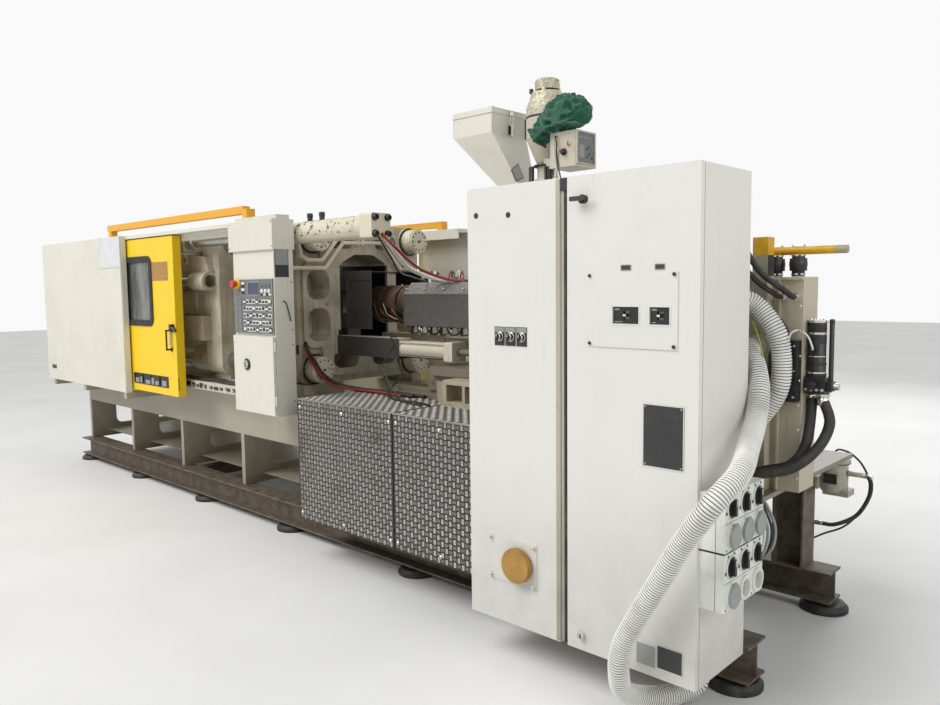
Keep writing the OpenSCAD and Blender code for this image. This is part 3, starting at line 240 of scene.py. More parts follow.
ANY = None
SOOT = (0.11, 0.105, 0.1)
CREAM = worn_paint("cream_paint", (0.86, 0.85, 0.8), runs=0.3, chips=0.14, clouds=0.3)
CREAM_SHADE = worn_paint("cream_paint_grimy", (0.78, 0.755, 0.68), runs=0.6, chips=0.35, clouds=0.55)
CABINET = worn_paint("cabinet_paint", (0.875, 0.87, 0.845), dirt=(0.5, 0.485, 0.44), runs=0.2, chips=0.08,
                     clouds=0.16, low_grime=0.55)
BEIGE = worn_paint("beige_frame_paint", (0.7, 0.675, 0.6), runs=0.6, chips=0.34, clouds=0.6, low_grime=0.85)
# Very dark brown paint for the injection base and the carriage: partly real oil stains, partly painted shade
# for the shadowed bay under the injection unit.
OILY_AND_SHADED_FRAME = worn_paint("oily_frame_paint_and_painted_shade", (0.46, 0.43, 0.36), dirt=(0.1, 0.09, 0.075), runs=0.9,
                        chips=0.45, clouds=1.0, rough=0.34)
YELLOW = worn_paint("yellow_guard_paint", (0.96, 0.8, 0.07), dirt=(0.62, 0.5, 0.12), runs=0.25, chips=0.08,
                    clouds=0.25, rough=0.35)
AMBER = worn_paint("amber_beam_paint", (0.9, 0.66, 0.17), dirt=(0.45, 0.33, 0.12), runs=0.2, chips=0.2,
                   clouds=0.4)
DOOR = worn_paint("yellow_door_paint", (0.96, 0.8, 0.07), dirt=(0.62, 0.5, 0.12), runs=0.25, chips=0.08,
                  clouds=0.25, rough=0.35, areas=[
    ((ANY, (None, 189.4), ANY), SOOT), ((ANY, (192.6, 199), (858, 950)), SOOT)])
CYLINDERS = worn_paint("cylinder_paint", (0.84, 0.81, 0.72), runs=0.6, chips=0.35, clouds=0.45, areas=[
    (((-2710, -2540), (330, 410), (1967, None)), SOOT), (((-2041.5, None), (290, 450), (1800, None)), SOOT),
    (((-2304, -1916), ANY, (1140, 1166)), SOOT),
    (((-2904, -2301.5), (None, 712), (1140, 1268)), (0.27, 0.27, 0.26))],
    chip_area=((-2760, -2200), (290, 450), (1880, None)))
PIPEWORK = worn_paint("housing_paint", (0.72, 0.69, 0.6), runs=0.55, chips=0.3, clouds=0.5, low_grime=0.8,
                      areas=[
    ((ANY, ANY, (1600, None)), SOOT), (((-78, -18), (570, 640), ANY), (0.72, 0.69, 0.6)),
    (((-73, 188), ANY, (1681, None)), (0.93, 0.72, 0.1)),
    (((188, None), ANY, (1681, None)), (0.75, 0.7, 0.58))])
GREY_PAINT = worn_paint("grey_machine_paint", (0.4, 0.42, 0.42), dirt=(0.16, 0.15, 0.13), chips=0.2,
                        clouds=0.5, areas=[
    (((-172, 45), (1515, 1700), (529, 712)), (0.8, 0.78, 0.7))])
BLACK_PAINT = worn_paint("black_machine_paint", (0.12, 0.12, 0.125), dirt=(0.3, 0.28, 0.25), chips=0.15,
                         clouds=0.4, rough=0.38)
print("paints made")

# %% [markdown]
# The platens are cast iron under thick paint. Oil mist turns the paint brown in the hollows, so the
# casting gets a coarser bump and much stronger stains than the sheet metal.

# %% Painted castings
def oily_casting(name, tone, areas=()):
    f = Finish(name)
    oil = f.steps(f.noise(3.2, 7, 0.66), 0.4, 0.66)
    drip = f.steps(f.noise(12.0, 7, 0.7, f.stretched(3, 3, 0.3)), 0.5, 0.75)
    colour = f.blend(f.times(oil, 0.5), linear(tone), linear((0.5, 0.44, 0.33)))
    colour = f.blend(f.times(drip, 0.55), colour, linear((0.33, 0.28, 0.2)))
    chip = f.steps(f.noise(38.0, 7, 0.78), 0.655, 0.67)
    colour = f.blend(chip, colour, linear((0.17, 0.15, 0.13)))
    f.bump(f.noise(120.0, 4), 0.0012, 0.35, f.bump(f.noise(18.0, 5), 0.003, 0.3))
    rough = f.spread(oil, 0.5, 0.3)
    return f.surface(Base_Color=f.zones(colour, areas), Roughness=rough)


CASTING = oily_casting("casting_paint", (0.78, 0.75, 0.67))
# The near-black box inside the fixed platen's rear pocket, round the nozzle, is painted shade.
PLATEN = oily_casting("fixed_platen_paint_with_shaded_pocket", (0.78, 0.75, 0.67), [
    (((-3400, -2905), (752, 1158), (1235, 1722)), (0.045, 0.04, 0.035))])
print("casting made")

# %% [markdown]
# Bare metal needs its own three looks: ground steel with fine lines along the bar, galvanised sheet
# with its grey cloudy skin, and burnt heater bands that are brown and rough.

# %% Bare metals
def ground_steel(name, tone, rough, lines=(0.6, 60, 60), stain=0.3):
    f = Finish(name)
    line = f.noise(5.0, 6, 0.7, f.stretched(*lines))
    oil = f.times(f.steps(f.noise(3.0, 6, 0.7), 0.45, 0.8), stain)
    colour = f.blend(oil, linear(tone), linear((0.2, 0.17, 0.13)))
    f.bump(line, 0.0004, 0.3)
    return f.surface(Base_Color=colour, Roughness=f.spread(line, rough - 0.07, rough + 0.14), Metallic=1.0)


def galvanised_sheet(name, tone, areas=()):
    f = Finish(name)
    spangle = f.add("ShaderNodeTexVoronoi", Vector=f.place, Scale=75.0).outputs["Color"]
    grey = f.add("ShaderNodeSeparateColor", Color=spangle).outputs["Red"]
    colour = f.blend(f.times(grey, 0.5), linear(tone), linear([t * 0.72 for t in tone]))
    stain = f.times(f.steps(f.noise(5.0, 7, 0.72), 0.45, 0.75), 0.55)
    colour = f.blend(stain, colour, linear((0.24, 0.22, 0.19)))
    f.bump(f.noise(35.0, 5), 0.0006, 0.3)
    roughness = f.spread(grey, 0.42, 0.62)
    return f.surface(Base_Color=f.zones(colour, areas), Roughness=roughness,
                     Metallic=0.55 if not areas else 0.3)


def burnt_steel(name, tone, rust):
    f = Finish(name)
    patch = f.steps(f.noise(16.0, 8, 0.72), 0.38, 0.66)
    colour = f.blend(patch, linear(tone), linear(rust))
    colour = f.blend(f.steps(f.noise(70.0, 5, 0.7), 0.58, 0.7), colour, linear((0.5, 0.44, 0.38)))
    f.bump(f.noise(90.0, 7, 0.7), 0.002, 0.5)
    return f.surface(Base_Color=colour, Roughness=0.62, Metallic=0.35)


def bars_and_nuts(name):
    f = Finish(name)
    line = f.noise(5.0, 6, 0.7, f.stretched(0.6, 60, 60))
    oil = f.times(f.steps(f.noise(3.0, 6, 0.7), 0.45, 0.8), 0.35)
    colour = f.blend(oil, linear((0.74, 0.74, 0.73)), linear((0.2, 0.17, 0.13)))
    nuts = f.inside((-2918.2, None), None, None)
    paint = f.blend(f.steps(f.noise(14.0, 6, 0.7), 0.5, 0.75), linear((0.85, 0.82, 0.73)),
                    linear((0.6, 0.54, 0.42)))
    colour = f.blend(nuts, colour, paint)
    colour = f.blend(f.inside((-2817.9, None), None, None), colour, linear(SOOT))
    f.bump(line, 0.0004, 0.3)
    bare = f.join("SUBTRACT", 1.0, nuts)
    rough = f.spread(nuts, 0.28, 0.45)
    return f.surface(Base_Color=colour, Roughness=rough, Metallic=bare)


BARS = bars_and_nuts("tie_bars_and_nuts")
STEEL = ground_steel("ground_steel", (0.74, 0.74, 0.73), 0.26)
DARK_STEEL = ground_steel("mould_face_steel", (0.3, 0.28, 0.26), 0.4, lines=(8, 8, 8), stain=0.8)
PLATED = ground_steel("plated_fittings", (0.82, 0.81, 0.78), 0.22, lines=(20, 20, 20), stain=0.2)
BRASS = ground_steel("tarnished_brass", (0.76, 0.6, 0.36), 0.42, lines=(30, 30, 30), stain=0.5)
GALVANISED = galvanised_sheet("galvanised_cover", (0.5, 0.485, 0.465), [
    ((ANY, (None, 796), (1340, 1532)), (0.42, 0.405, 0.39))])
CHEQUER = galvanised_sheet("chequer_plate_ground", (0.22, 0.21, 0.2),
                           [((ANY, ANY, (940.5, None)), (0.82, 0.78, 0.66))])
LOZENGE = ground_steel("worn_tread_bars", (0.62, 0.61, 0.59), 0.42, lines=(40, 40, 40), stain=0.75)
GUARD_STEEL = galvanised_sheet("dark_guard_sheet", (0.3, 0.3, 0.29))
COPPER = ground_steel("copper_wire", (0.72, 0.45, 0.3), 0.35, lines=(60, 60, 60), stain=0.5)
FOIL = galvanised_sheet("crumpled_foil", (0.74, 0.72, 0.63))
BURNT = burnt_steel("burnt_heater_bands", (0.27, 0.23, 0.2), (0.42, 0.29, 0.19))
RUSTY = burnt_steel("rusty_beams", (0.42, 0.4, 0.36), (0.34, 0.27, 0.21))
print("metals made")

# %% [markdown]
# Plastic and rubber differ from paint by their soft shine and fine grain. Dust settles on rubber, so
# black rubber is really a dark warm grey with paler clouds.

# %% Plastics, rubber and glass
def moulded(name, tone, rough=0.45, dust=0.25, grain=400.0, coat=0.0):
    f = Finish(name)
    cloud = f.times(f.steps(f.noise(11.0, 6, 0.68), 0.42, 0.78), dust)
    colour = f.blend(cloud, linear(tone), linear((0.47, 0.44, 0.39)))
    f.bump(f.noise(grain, 2), 0.0002, 0.3)
    roughness = f.spread(f.noise(30.0, 4), rough - 0.05, rough + 0.12)
    return f.surface(Base_Color=colour, Roughness=roughness, Coat_Weight=coat)


def smoked_glass(name):
    f = Finish(name)
    wipe = f.noise(3.5, 6, 0.7, f.stretched(2.2, 2.2, 0.5))
    colour = f.blend(f.steps(wipe, 0.35, 0.7), linear((0.3, 0.31, 0.31)), linear((0.52, 0.53, 0.52)))
    alpha = f.spread(wipe, 0.72, 0.94)
    f.bump(f.noise(9.0, 3), 0.0008, 0.15)
    f.material.surface_render_method = "BLENDED"
    return f.surface(Base_Color=colour, Roughness=0.14, Alpha=alpha, Specular_IOR_Level=0.6)


RUBBER = moulded("black_rubber", (0.1, 0.1, 0.1), rough=0.6, dust=0.3)
BLACK = moulded("black_plastic", (0.09, 0.09, 0.095), rough=0.4, dust=0.12)
GREY = moulded("grey_plastic", (0.58, 0.59, 0.58), rough=0.45, dust=0.25)
PALE = moulded("pale_plastic", (0.87, 0.88, 0.85), rough=0.4, dust=0.3)
HOSE_WHITE = moulded("white_hose", (0.88, 0.88, 0.86), rough=0.5, dust=0.32)
# The conduit is white plastic all through; the dark colour of its grooves and open ends is painted shade.
HOSE_GROOVE_SHADE = moulded("hose_grooves_painted_shade", (0.16, 0.16, 0.16), rough=0.65, dust=0.2)
RED = moulded("red_plastic", (0.78, 0.13, 0.12), rough=0.3, dust=0.1, coat=0.3)
RED_HOSE = moulded("red_rubber_hose", (0.55, 0.13, 0.1), rough=0.5, dust=0.3)
SIGNAL_YELLOW = moulded("yellow_plastic", (0.93, 0.76, 0.1), rough=0.35, dust=0.1)
SCREEN = moulded("dark_screen", (0.13, 0.18, 0.32), rough=0.16, dust=0.06, coat=0.5)
PANEL = moulded("grey_keypad", (0.43, 0.44, 0.44), rough=0.4, dust=0.15)
WHITE_KEY = moulded("white_keys", (0.9, 0.9, 0.87), rough=0.4, dust=0.1)
PAPER = moulded("paper_sleeve", (0.84, 0.85, 0.86), rough=0.35, dust=0.2, coat=0.2)
BARE_PLATE = moulded("bare_dark_plates", (0.17, 0.17, 0.175), rough=0.38, dust=0.15)
TAN_PLATE = moulded("bare_tan_plate", (0.66, 0.5, 0.27), rough=0.5, dust=0.3)
EARTH = moulded("earth_wire", (0.62, 0.66, 0.12), rough=0.5, dust=0.2)
GLASS = smoked_glass("smoked_pane")
print("plastics made")

# %% [markdown]
# The dust bag is thin woven cloth. Two crossed wave textures give the threads, and sheen gives the
# pale edge that cloth shows where it turns away from you.

# %% Woven cloth
def woven(name, tone):
    f = Finish(name)
    warp, weft = [f.add("ShaderNodeTexWave", {"bands_direction": way}, Vector=f.place, Scale=220.0,
                        Distortion=0.6).outputs["Fac"] for way in "XZ"]
    thread = f.times(warp, weft)
    fold = f.steps(f.noise(7.0, 6, 0.7), 0.35, 0.75)
    colour = f.blend(f.times(fold, 0.45), linear(tone), linear([min(1, t * 1.3 + 0.03) for t in tone]))
    f.bump(thread, 0.0005, 0.4)
    return f.surface(Base_Color=colour, Roughness=0.8, Sheen_Weight=0.35)


CLOTH = woven("green_cloth", (0.01, 0.31, 0.225))
# The same cloth as outside, much darker: painted shade inside the bag.
BAG_INSIDE_SHADE = woven("green_cloth_inside_painted_shade", (0.004, 0.12, 0.09))
print("cloth made")

# %% [markdown]
# Every CAD node now takes the finish of the real piece. Its mesh stays as it is. Two modifiers make
# it look made of metal: Weld joins the corners that the file format splits, and a tiny Bevel breaks
# the sharp edges, so that they catch the light as folded sheet and machined edges do.

# %% Paint the CAD nodes
NODE_FINISH = {
    "bed": BEIGE, "floor_beams": RUSTY, "levelling_pads": RUBBER, "stationary_platen": PLATEN,
    "cylinder_platen": CASTING, "tie_bars": BARS, "hydraulic_cylinders": CYLINDERS,
    "front_guard": CREAM, "rear_guard": CREAM, "control_column": CREAM, "operator_panel": PANEL,
    "top_beams": AMBER, "tread_plates": CHEQUER, "cabinet_body": CABINET, "switchgear": GREY_PAINT,
    "outlet_boxes": PALE, "injection_base": OILY_AND_SHADED_FRAME, "power_pack": GREY_PAINT,
    "valve_stack": BLACK_PAINT,
    "rear_housing": PIPEWORK, "moving_platen": CASTING, "clamp_ram": STEEL, "ejector": STEEL,
    "front_door": DOOR, "front_pane": GLASS, "rear_door": YELLOW, "column_cover": CREAM,
    "estop_button": RED, "cab_door_left": CABINET, "cab_door_right": CABINET, "t_handle": DARK_STEEL,
    "door_disc": BRASS, "hopper_lid": CREAM, "carriage": OILY_AND_SHADED_FRAME, "barrel": BURNT,
    "barrel_cover": GALVANISED, "hopper": CREAM, "dryer": CREAM_SHADE, "screw": STEEL,
    "injection_ram": GREY_PAINT, "purge_guard": GUARD_STEEL,
}
NODE_FINISH.update({f"selector_{i}": BLACK for i in (1, 2, 3)})
NODE_FINISH.update({f"breaker_{i}": BLACK for i in (1, 2)})
NODE_FINISH.update({f"dial_{i}": BLACK for i in range(1, 7)})
NODE_FINISH.update({f"cap_{i}": GREY for i in range(1, 5)})
PLAIN_NODES = {"operator_panel", "switchgear", "front_pane"}


def soften(piece, width, angle=35):
    weld = piece.modifiers.new("join corners", "WELD")
    weld.merge_threshold = 0.00002
    bevel = piece.modifiers.new("broken edges", "BEVEL")
    bevel.width = width / 1000
    bevel.segments = 2
    bevel.limit_method = "ANGLE"
    bevel.angle_limit = math.radians(angle)
    bevel.harden_normals = True
    bevel.use_clamp_overlap = True


for name, finish in NODE_FINISH.items():
    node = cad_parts[name]
    node.data.materials.clear()
    node.data.materials.append(finish)
    if name not in PLAIN_NODES:
        soften(node, 1.5)
print("painted", len(NODE_FINISH), "nodes")

# %% [markdown]
# The small metal parts are all made of a few shapes: folded plates, turned rods, hexagons and bent
# tubes. A kit gathers them in one bmesh, so a group of fasteners becomes one object with one place
# in the scene tree. It takes drawing millimetres, and gives each face the number of its finish.

# %% The shape kit
def side_axes(direction):
    direction = Vector(direction).normalized()
    helper = Vector((0, 0, 1)) if abs(direction.z) < 0.9 else Vector((1, 0, 0))
    across = direction.cross(helper).normalized()
    return across, direction.cross(across)


def around(count, radius, start=0.0):
    for k in range(count):
        turn = math.tau * (k + start) / count
        yield radius * math.cos(turn), radius * math.sin(turn)


class Kit:
    def __init__(self):
        self.bm = bmesh.new()

    def face(self, corners, finish, smooth=False):
        made = self.bm.faces.new(corners)
        made.material_index = finish
        made.smooth = smooth

    def rings(self, rows, finish, smooth=True, closed=True):
        made = [[self.bm.verts.new(at(*p)) for p in row] for row in rows]
        for low, high in zip(made, made[1:]):
            for k in range(len(low)):
                n = (k + 1) % len(low)
                self.face((low[k], low[n], high[n], high[k]), finish, smooth)
        if closed:
            self.face(made[0][::-1], finish)
            self.face(made[-1], finish)

    def box(self, x0, x1, y0, y1, z0, z1, finish=0):
        flat = [(x0, y0), (x1, y0), (x1, y1), (x0, y1)]
        self.rings([[(x, y, z0) for x, y in flat], [(x, y, z1) for x, y in flat]], finish, False)

    def turned(self, start, direction, profile, finish=0, sides=24, smooth=True):
        start = Vector(start)
        way = Vector(direction).normalized()
        a, b = side_axes(way)
        rows = []
        for along, diameter in profile:
            middle = start + way * along
            rows.append([middle + (a * math.cos(t) + b * math.sin(t)) * diameter / 2
                         for t in (math.tau * k / sides for k in range(sides))])
        self.rings(rows, finish, smooth)

    def rod(self, start, end, diameter, finish=0, sides=16):
        way = Vector(end) - Vector(start)
        self.turned(start, way, [(0, diameter), (way.length, diameter)], finish, sides)

    def bolt(self, place, direction, size, finish=0):
        self.turned(place, direction, [(0, size * 2.1), (size * 0.18, size * 2.1)], finish, 16)
        self.turned(place, direction,
                    [(size * 0.18, size * 1.7), (size * 0.75, size * 1.7), (size * 0.85, size * 1.45)],
                    finish, 6, False)

    def socket_bolt(self, place, direction, size, finish=0):
        self.turned(place, direction,
                    [(0, size * 1.5), (size * 0.9, size * 1.5), (size, size * 1.35), (size, size * 0.8),
                     (size * 0.55, size * 0.8)], finish, 16)

    def tube(self, points, diameter, finish=0, sides=10, steps=5):
        path = smooth_path(points, steps)
        self.rings(sweep(path, [diameter / 2] * len(path), sides), finish)

    def done(self, name, body, finishes, bevel=0.0):
        bmesh.ops.recalc_face_normals(self.bm, faces=self.bm.faces)
        mesh = bpy.data.meshes.new(name)
        self.bm.to_mesh(mesh)
        self.bm.free()
        piece = bpy.data.objects.new(name, mesh)
        bpy.context.scene.collection.objects.link(piece)
        for finish in finishes:
            mesh.materials.append(finish)
        if bevel:
            soften(piece, bevel, 40)
        if isinstance(body, str):
            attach(piece, body)
        else:
            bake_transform(piece)
        return piece


print("kit ready")

# %% [markdown]
# A hose follows a smooth curve through its route points. Catmull-Rom curves pass through every
# point, which suits a route read off a real machine. The rings must not twist against each other, so
# each ring's first axis is the last ring's, straightened onto the new direction.

# %% Smooth routes and sweeps
def smooth_path(points, steps):
    p = [Vector(q) for q in points]
    path = []
    for i in range(len(p) - 1):
        a, b, c, d = p[max(i - 1, 0)], p[i], p[i + 1], p[min(i + 2, len(p) - 1)]
        for k in range(steps):
            t = k / steps
            path.append(0.5 * (2 * b + (c - a) * t + (2 * a - 5 * b + 4 * c - d) * t * t
                               + (3 * b - a - 3 * c + d) * t ** 3))
    return path + [p[-1]]


def even_path(points, spacing):
    fine = smooth_path(points, 40)
    total = sum((b - a).length for a, b in zip(fine, fine[1:]))
    count = max(2, round(total / spacing))
    path, travelled, i = [fine[0]], 0.0, 0
    for n in range(1, count):
        goal = total * n / count
        while travelled + (fine[i + 1] - fine[i]).length < goal:
            travelled += (fine[i + 1] - fine[i]).length
            i += 1
        path.append(fine[i].lerp(fine[i + 1], (goal - travelled) / (fine[i + 1] - fine[i]).length))
    return path + [fine[-1]], total


def sweep(path, radii, sides):
    rows, across = [], None
    for i, middle in enumerate(path):
        way = (path[min(i + 1, len(path) - 1)] - path[max(i - 1, 0)]).normalized()
        across = side_axes(way)[0] if across is None else (across - way * across.dot(way)).normalized()
        other = way.cross(across)
        rows.append([middle + (across * math.cos(t) + other * math.sin(t)) * radii[i]
                     for t in (math.tau * k / sides for k in range(sides))])
    return rows


print("sweeps ready")

# %% [markdown]
# The thick hose from the machine to the foot of the cabinet is a ribbed conduit: white plastic rings
# about a centimetre apart. The grooves between them are coloured dark, which is painted shade. The
# ribs are real geometry, four rings of corners to each rib, because their shadow lines are the first
# thing that one sees. A second helper lays the plain hoses and cables of the later cells.

# %% The cabinet hose and the rear conduit
CABINET_ROUTE = [
    (-48, 560, 1330), (-48, 545, 1330), (-48, 530, 1330), (-35, 490, 1305), (0, 450, 1255),
    (32, 405, 1180), (50, 340, 1084), (95, 180, 1015), (135, 20, 955), (100, -95, 872),
    (-2, -105, 716), (-88, -105, 563), (-174, -105, 410), (-226, -105, 302), (-245, -95, 205),
    (-250, -50, 110), (-215, 50, 62), (-155, 160, 52), (-116, 230, 72), (-110, 250, 105),
    (-110, 250, 120), (-110, 250, 135)]
REAR_ROUTE = [
    (-120, 381, 1530), (-120, 400, 1530), (-120, 420, 1530), (-40, 500, 1500), (40, 520, 1400),
    (62, 530, 1300), (55, 532, 1180), (0, 530, 1080), (-90, 528, 970), (-150, 545, 890),
    (-165, 560, 830), (-165, 560, 800), (-165, 560, 780), (-165, 560, 760)]


def ribbed_hose(name, route, diameter, pitch, node, sides=22):
    path, length = even_path(route, pitch / 4)
    outer, inner = diameter / 2 - 0.2, diameter / 2 - 0.2 - pitch * 0.24
    radii = [outer if i % 4 in (0, 1) else inner for i in range(len(path))]
    kit = Kit()
    rows = [[kit.bm.verts.new(at(*p)) for p in row] for row in sweep(path, radii, sides)]
    for i, (low, high) in enumerate(zip(rows, rows[1:])):
        for k in range(sides):
            n = (k + 1) % sides
            # Groove faces and the two end caps take the dark finish: painted shade in the grooves and in the
            # open ends.
            kit.face((low[k], low[n], high[n], high[k]), 1 if i % 4 == 2 else 0, True)
    kit.face(rows[0][::-1], 1)
    kit.face(rows[-1], 1)
    hose = kit.done(name, "machine", [HOSE_WHITE, HOSE_GROOVE_SHADE])
    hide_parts(node)
    print(name, round(length), "mm")
    return hose


def laid_line(name, body, points, size, finish,
              sides=10):
    path, length = even_path(points, max(9, size))
    kit = Kit()
    kit.rings(sweep(path, [size / 2] * len(path), sides), 0)
    line = kit.done(name, body, [finish])
    return line


ribbed_hose("ribbed_cabinet_hose", CABINET_ROUTE, 78, 10, "cabinet_hose")
ribbed_hose("ribbed_rear_conduit", REAR_ROUTE, 74, 11, "rear_conduit")

# %% [markdown]
# The oil hoses are plain black rubber. Each end has a hexagon to put the spanner on, and a crimped
# steel sleeve.

# %% The oil hoses
OIL_ROUTES = {
    "oil_hose_front": ([
        (118, 700, 1150), (118, 700, 1135), (118, 700, 1120), (126, 625, 960), (85, 580, 880),
        (0, 548, 850), (-70, 545, 815), (-80, 545, 785), (-80, 545, 772), (-80, 545, 760)], 40),
    "oil_hose_back": ([
        (162, 690, 1150), (162, 690, 1138), (162, 690, 1126), (195, 670, 1040), (175, 600, 950),
        (110, 530, 880), (10, 488, 850), (-70, 485, 815), (-80, 485, 785), (-80, 485, 772),
        (-80, 485, 760)], 40),
    "filter_hose": ([
        (40, 1606, 640), (50, 1606, 640), (60, 1606, 640), (80, 1600, 610), (75, 1590, 540),
        (30, 1560, 450), (-50, 1515, 402), (-110, 1500, 400), (-130, 1500, 400), (-150, 1500, 400)], 20)}


for name, (route, size) in OIL_ROUTES.items():
    path, length = even_path(route, 12)
    kit = Kit()
    kit.rings(sweep(path, [size / 2 - 0.2] * len(path), 18), 0)
    hose = kit.done(name, "machine", [RUBBER])
    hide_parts("oil_hoses")
    fittings = Kit()
    for end, inner in ((path[0], path[2]), (path[-1], path[-3])):
        way = inner - end
        fittings.turned(end, way, [(0.3, size * 1.25), (12, size * 1.25)], 0, 6, False)
        fittings.turned(end, way, [(12, size * 1.12), (44, size * 1.12), (46, size * 1.02)], 0, 20)
    ends = fittings.done(name + "_fittings", "machine", [PLATED])
    print(name, round(length), "mm")

# %% [markdown]
# Flat sheet metal gets its life from what is screwed to it. Plates, tags and frames are all thin
# boxes with a broken edge, so one helper lays a plate with a narrow border on a front face. The
# plates stay blank.

# %% Plates and frames
def border(kit, x0, x1, y, z0, z1, width, thick, finish):
    kit.box(x0, x1, y - thick, y, z0, z0 + width, finish)
    kit.box(x0, x1, y - thick, y, z1 - width, z1, finish)
    kit.box(x0, x0 + width, y - thick, y, z0 + width, z1 - width, finish)
    kit.box(x1 - width, x1, y - thick, y, z0 + width, z1 - width, finish)


def blank_plate(kit, x0, x1, y, z0, z1, finish, rim, width=2.5):
    kit.box(x0, x1, y - 1.6, y + 0.2, z0, z1, finish)
    border(kit, x0, x1, y - 1.4, z0, z1, width, 0.9, rim)


def rounded(xc, zc, w, h, r, y, steps=7):
    points = []
    for sx, sz, start in ((1, 1, 0), (-1, 1, 90), (-1, -1, 180), (1, -1, 270)):
        for k in range(steps):
            t = math.radians(start + 90 * k / (steps - 1))
            points.append((xc + sx * (w / 2 - r) + r * math.cos(t), y,
                           zc + sz * (h / 2 - r) + r * math.sin(t)))
    return points


def gasket(kit, xc, zc, w, h, r, wide, y_back, y_front, finish=0):
    loops = [(0, y_back), (0, y_front + 4), (3, y_front), (wide - 3, y_front), (wide, y_front + 4),
             (wide, y_back)]
    kit.rings([rounded(xc, zc, w - 2 * i, h - 2 * i, max(r - i, 4), y) for i, y in loops], finish, True,
              False)


print("plates ready")

# %% [markdown]
# The cabinet's right door carries a raised panel with two breakers behind windows. The breaker cases
# fill the pockets of the door, and leave a slot where the toggle moves.

# %% Right cabinet door
def breaker_case(kit, x0, x1, lever):
    for a, b, c, d in ((x0 + 1, lever - 12, 1437, 1495), (lever + 12, x1 - 1, 1437, 1495),
                       (lever - 12, lever + 12, 1437, 1451), (lever - 12, lever + 12, 1481, 1495)):
        kit.box(a, b, 1.5, 14.2, c, d, 3)
    border(kit, x0 - 5, x1 + 5, -3.8, 1431, 1501, 5, 1.8, 1)
    kit.box(x0 + 6, x0 + 26, 0.6, 1.7, 1484, 1490, 6)
    kit.box(x0 + 6, lever - 16, 0.6, 1.7, 1441, 1444, 6)
    for k in range(6):
        kit.box(x1 - 26, x1 - 8, 0.4, 1.7, 1442 + 7 * k, 1444 + 7 * k, 0)


kit = Kit()
breaker_case(kit, -335, -228, -281)
breaker_case(kit, -185, -108, -146)
blank_plate(kit, -303, -262, 0, 1624, 1644, 0, 6)
blank_plate(kit, -167, -129, 0, 1624, 1644, 0, 6)
blank_plate(kit, -210, -51, 0, 936, 1159, 0, 1, 3)
blank_plate(kit, -232, -150, 0, 206, 290, 6, 1)
blank_plate(kit, -147, -46, 0, 213, 300, 0, 1)
for x, z in ((-200, 946), (-61, 946), (-200, 1149), (-61, 1149)):
    kit.turned((x, -2.2, z), FRONT, [(0, 6), (1.2, 5)], 2, 12)
for x, z in product((-432, -90), (1362, 1608)):
    kit.turned((x, -6.8, z), FRONT, [(0, 13.5), (2.5, 13.5), (4, 10)], 3, 16)
kit.turned((-470, -5.8, 235), FRONT, [(0, 30), (7, 30), (9, 27), (9, 20), (7, 19)], 2, 24)
kit.box(-472.5, -467.5, -14.5, -12, 224, 246, 3)
kit.turned((-466, -0.3, 1888), FRONT, [(0, 46), (0.2, 46), (0.2, 19)], 2, 28)
kit.done("right_door_fittings", "cab_right_body",
         [BARE_PLATE, PALE, PLATED, BLACK, GREY_PAINT, CABINET, GREY], 0.5)
for name, lever in (("breaker_1_body", -281), ("breaker_2_body", -146)):
    kit = Kit()
    kit.box(lever - 5.5, lever + 5.5, -13, -11.8, 1463, 1470)
    kit.done(name.replace("body", "mark"), name, [WHITE_KEY], 0.3)
print("right door dressed")

# %% [markdown]
# The left door has three selector plates with knobs, a plate with a brass disc, and two old holes
# that are closed with rubber plugs. Between the doors stands a strip with a perished rubber seal.

# %% Left cabinet door and the seal between the doors
kit = Kit()
for i in range(3):
    x0 = -903 + 58 * i
    kit.box(x0 + 0.5, x0 + 54.5, -2.4, -1.9, 1333.5, 1410.5, 0)
    kit.box(x0 + 4, x0 + 51, -3.4, -2.2, 1388, 1408, 1)
    kit.turned((x0 + 28, -2.3, 1370), FRONT, [(0, 38), (2.2, 38), (3, 36), (3, 31)], 2, 28)
    kit.box(x0 + 5, x0 + 11, -3.2, -2.2, 1340, 1346, 3)
    kit.box(x0 + 44, x0 + 50, -3.2, -2.2, 1340, 1346, 3)
for x, z in ((-827, 1856), (-1001, 1864)):
    kit.turned((x, 2.5, z), FRONT, [(0, 17.6), (2.2, 17.6), (2.6, 24), (4, 23), (4.6, 16)], 4, 24)
for x, z in product((-928, -701), (365, 527)):
    kit.bolt((x, -9.8, z), FRONT, 8, 2)
kit.box(-591, -573.2, -0.8, 0.3, 178, 1972, 5)
kit.done("left_door_fittings", "cab_left_body", [BARE_PLATE, GREY, PLATED, BLACK, RUBBER, BEIGE],
         0.4)
for i in range(3):
    x = -875 + 58 * i
    kit = Kit()
    kit.box(x - 1.2, x + 1.2, -24.6, -23.8, 1371, 1382.6)
    kit.turned((x, -13.8, 1370), FRONT, [(0, 28), (1.6, 27), (3, 22)], 1, 28)
    kit.done(f"selector_{i + 1}_mark", f"selector_{i + 1}_body", [WHITE_KEY, PLATED])
kit = Kit()
kit.box(-571, -557, 6, 12.2, 180, 1971, 1)
rows = []
for n in range(60):
    z = 180 + n * 1746 / 59
    bulge = random.uniform(0, 2.2)
    rows.append([(-556.5, 12.2, z), (-556 + bulge * 0.4, 4.5 - bulge * 0.6, z), (-546, 3.2, z),
                 (-541.5, 6.5 - bulge, z), (-541, 12.2, z)])
kit.rings(rows, 0, True)
kit.box(-569, -541, 1, 12.2, 1926, 1974, 2)
kit.done("door_seal", "machine", [RUBBER, BEIGE, BLACK])
print("left door dressed")

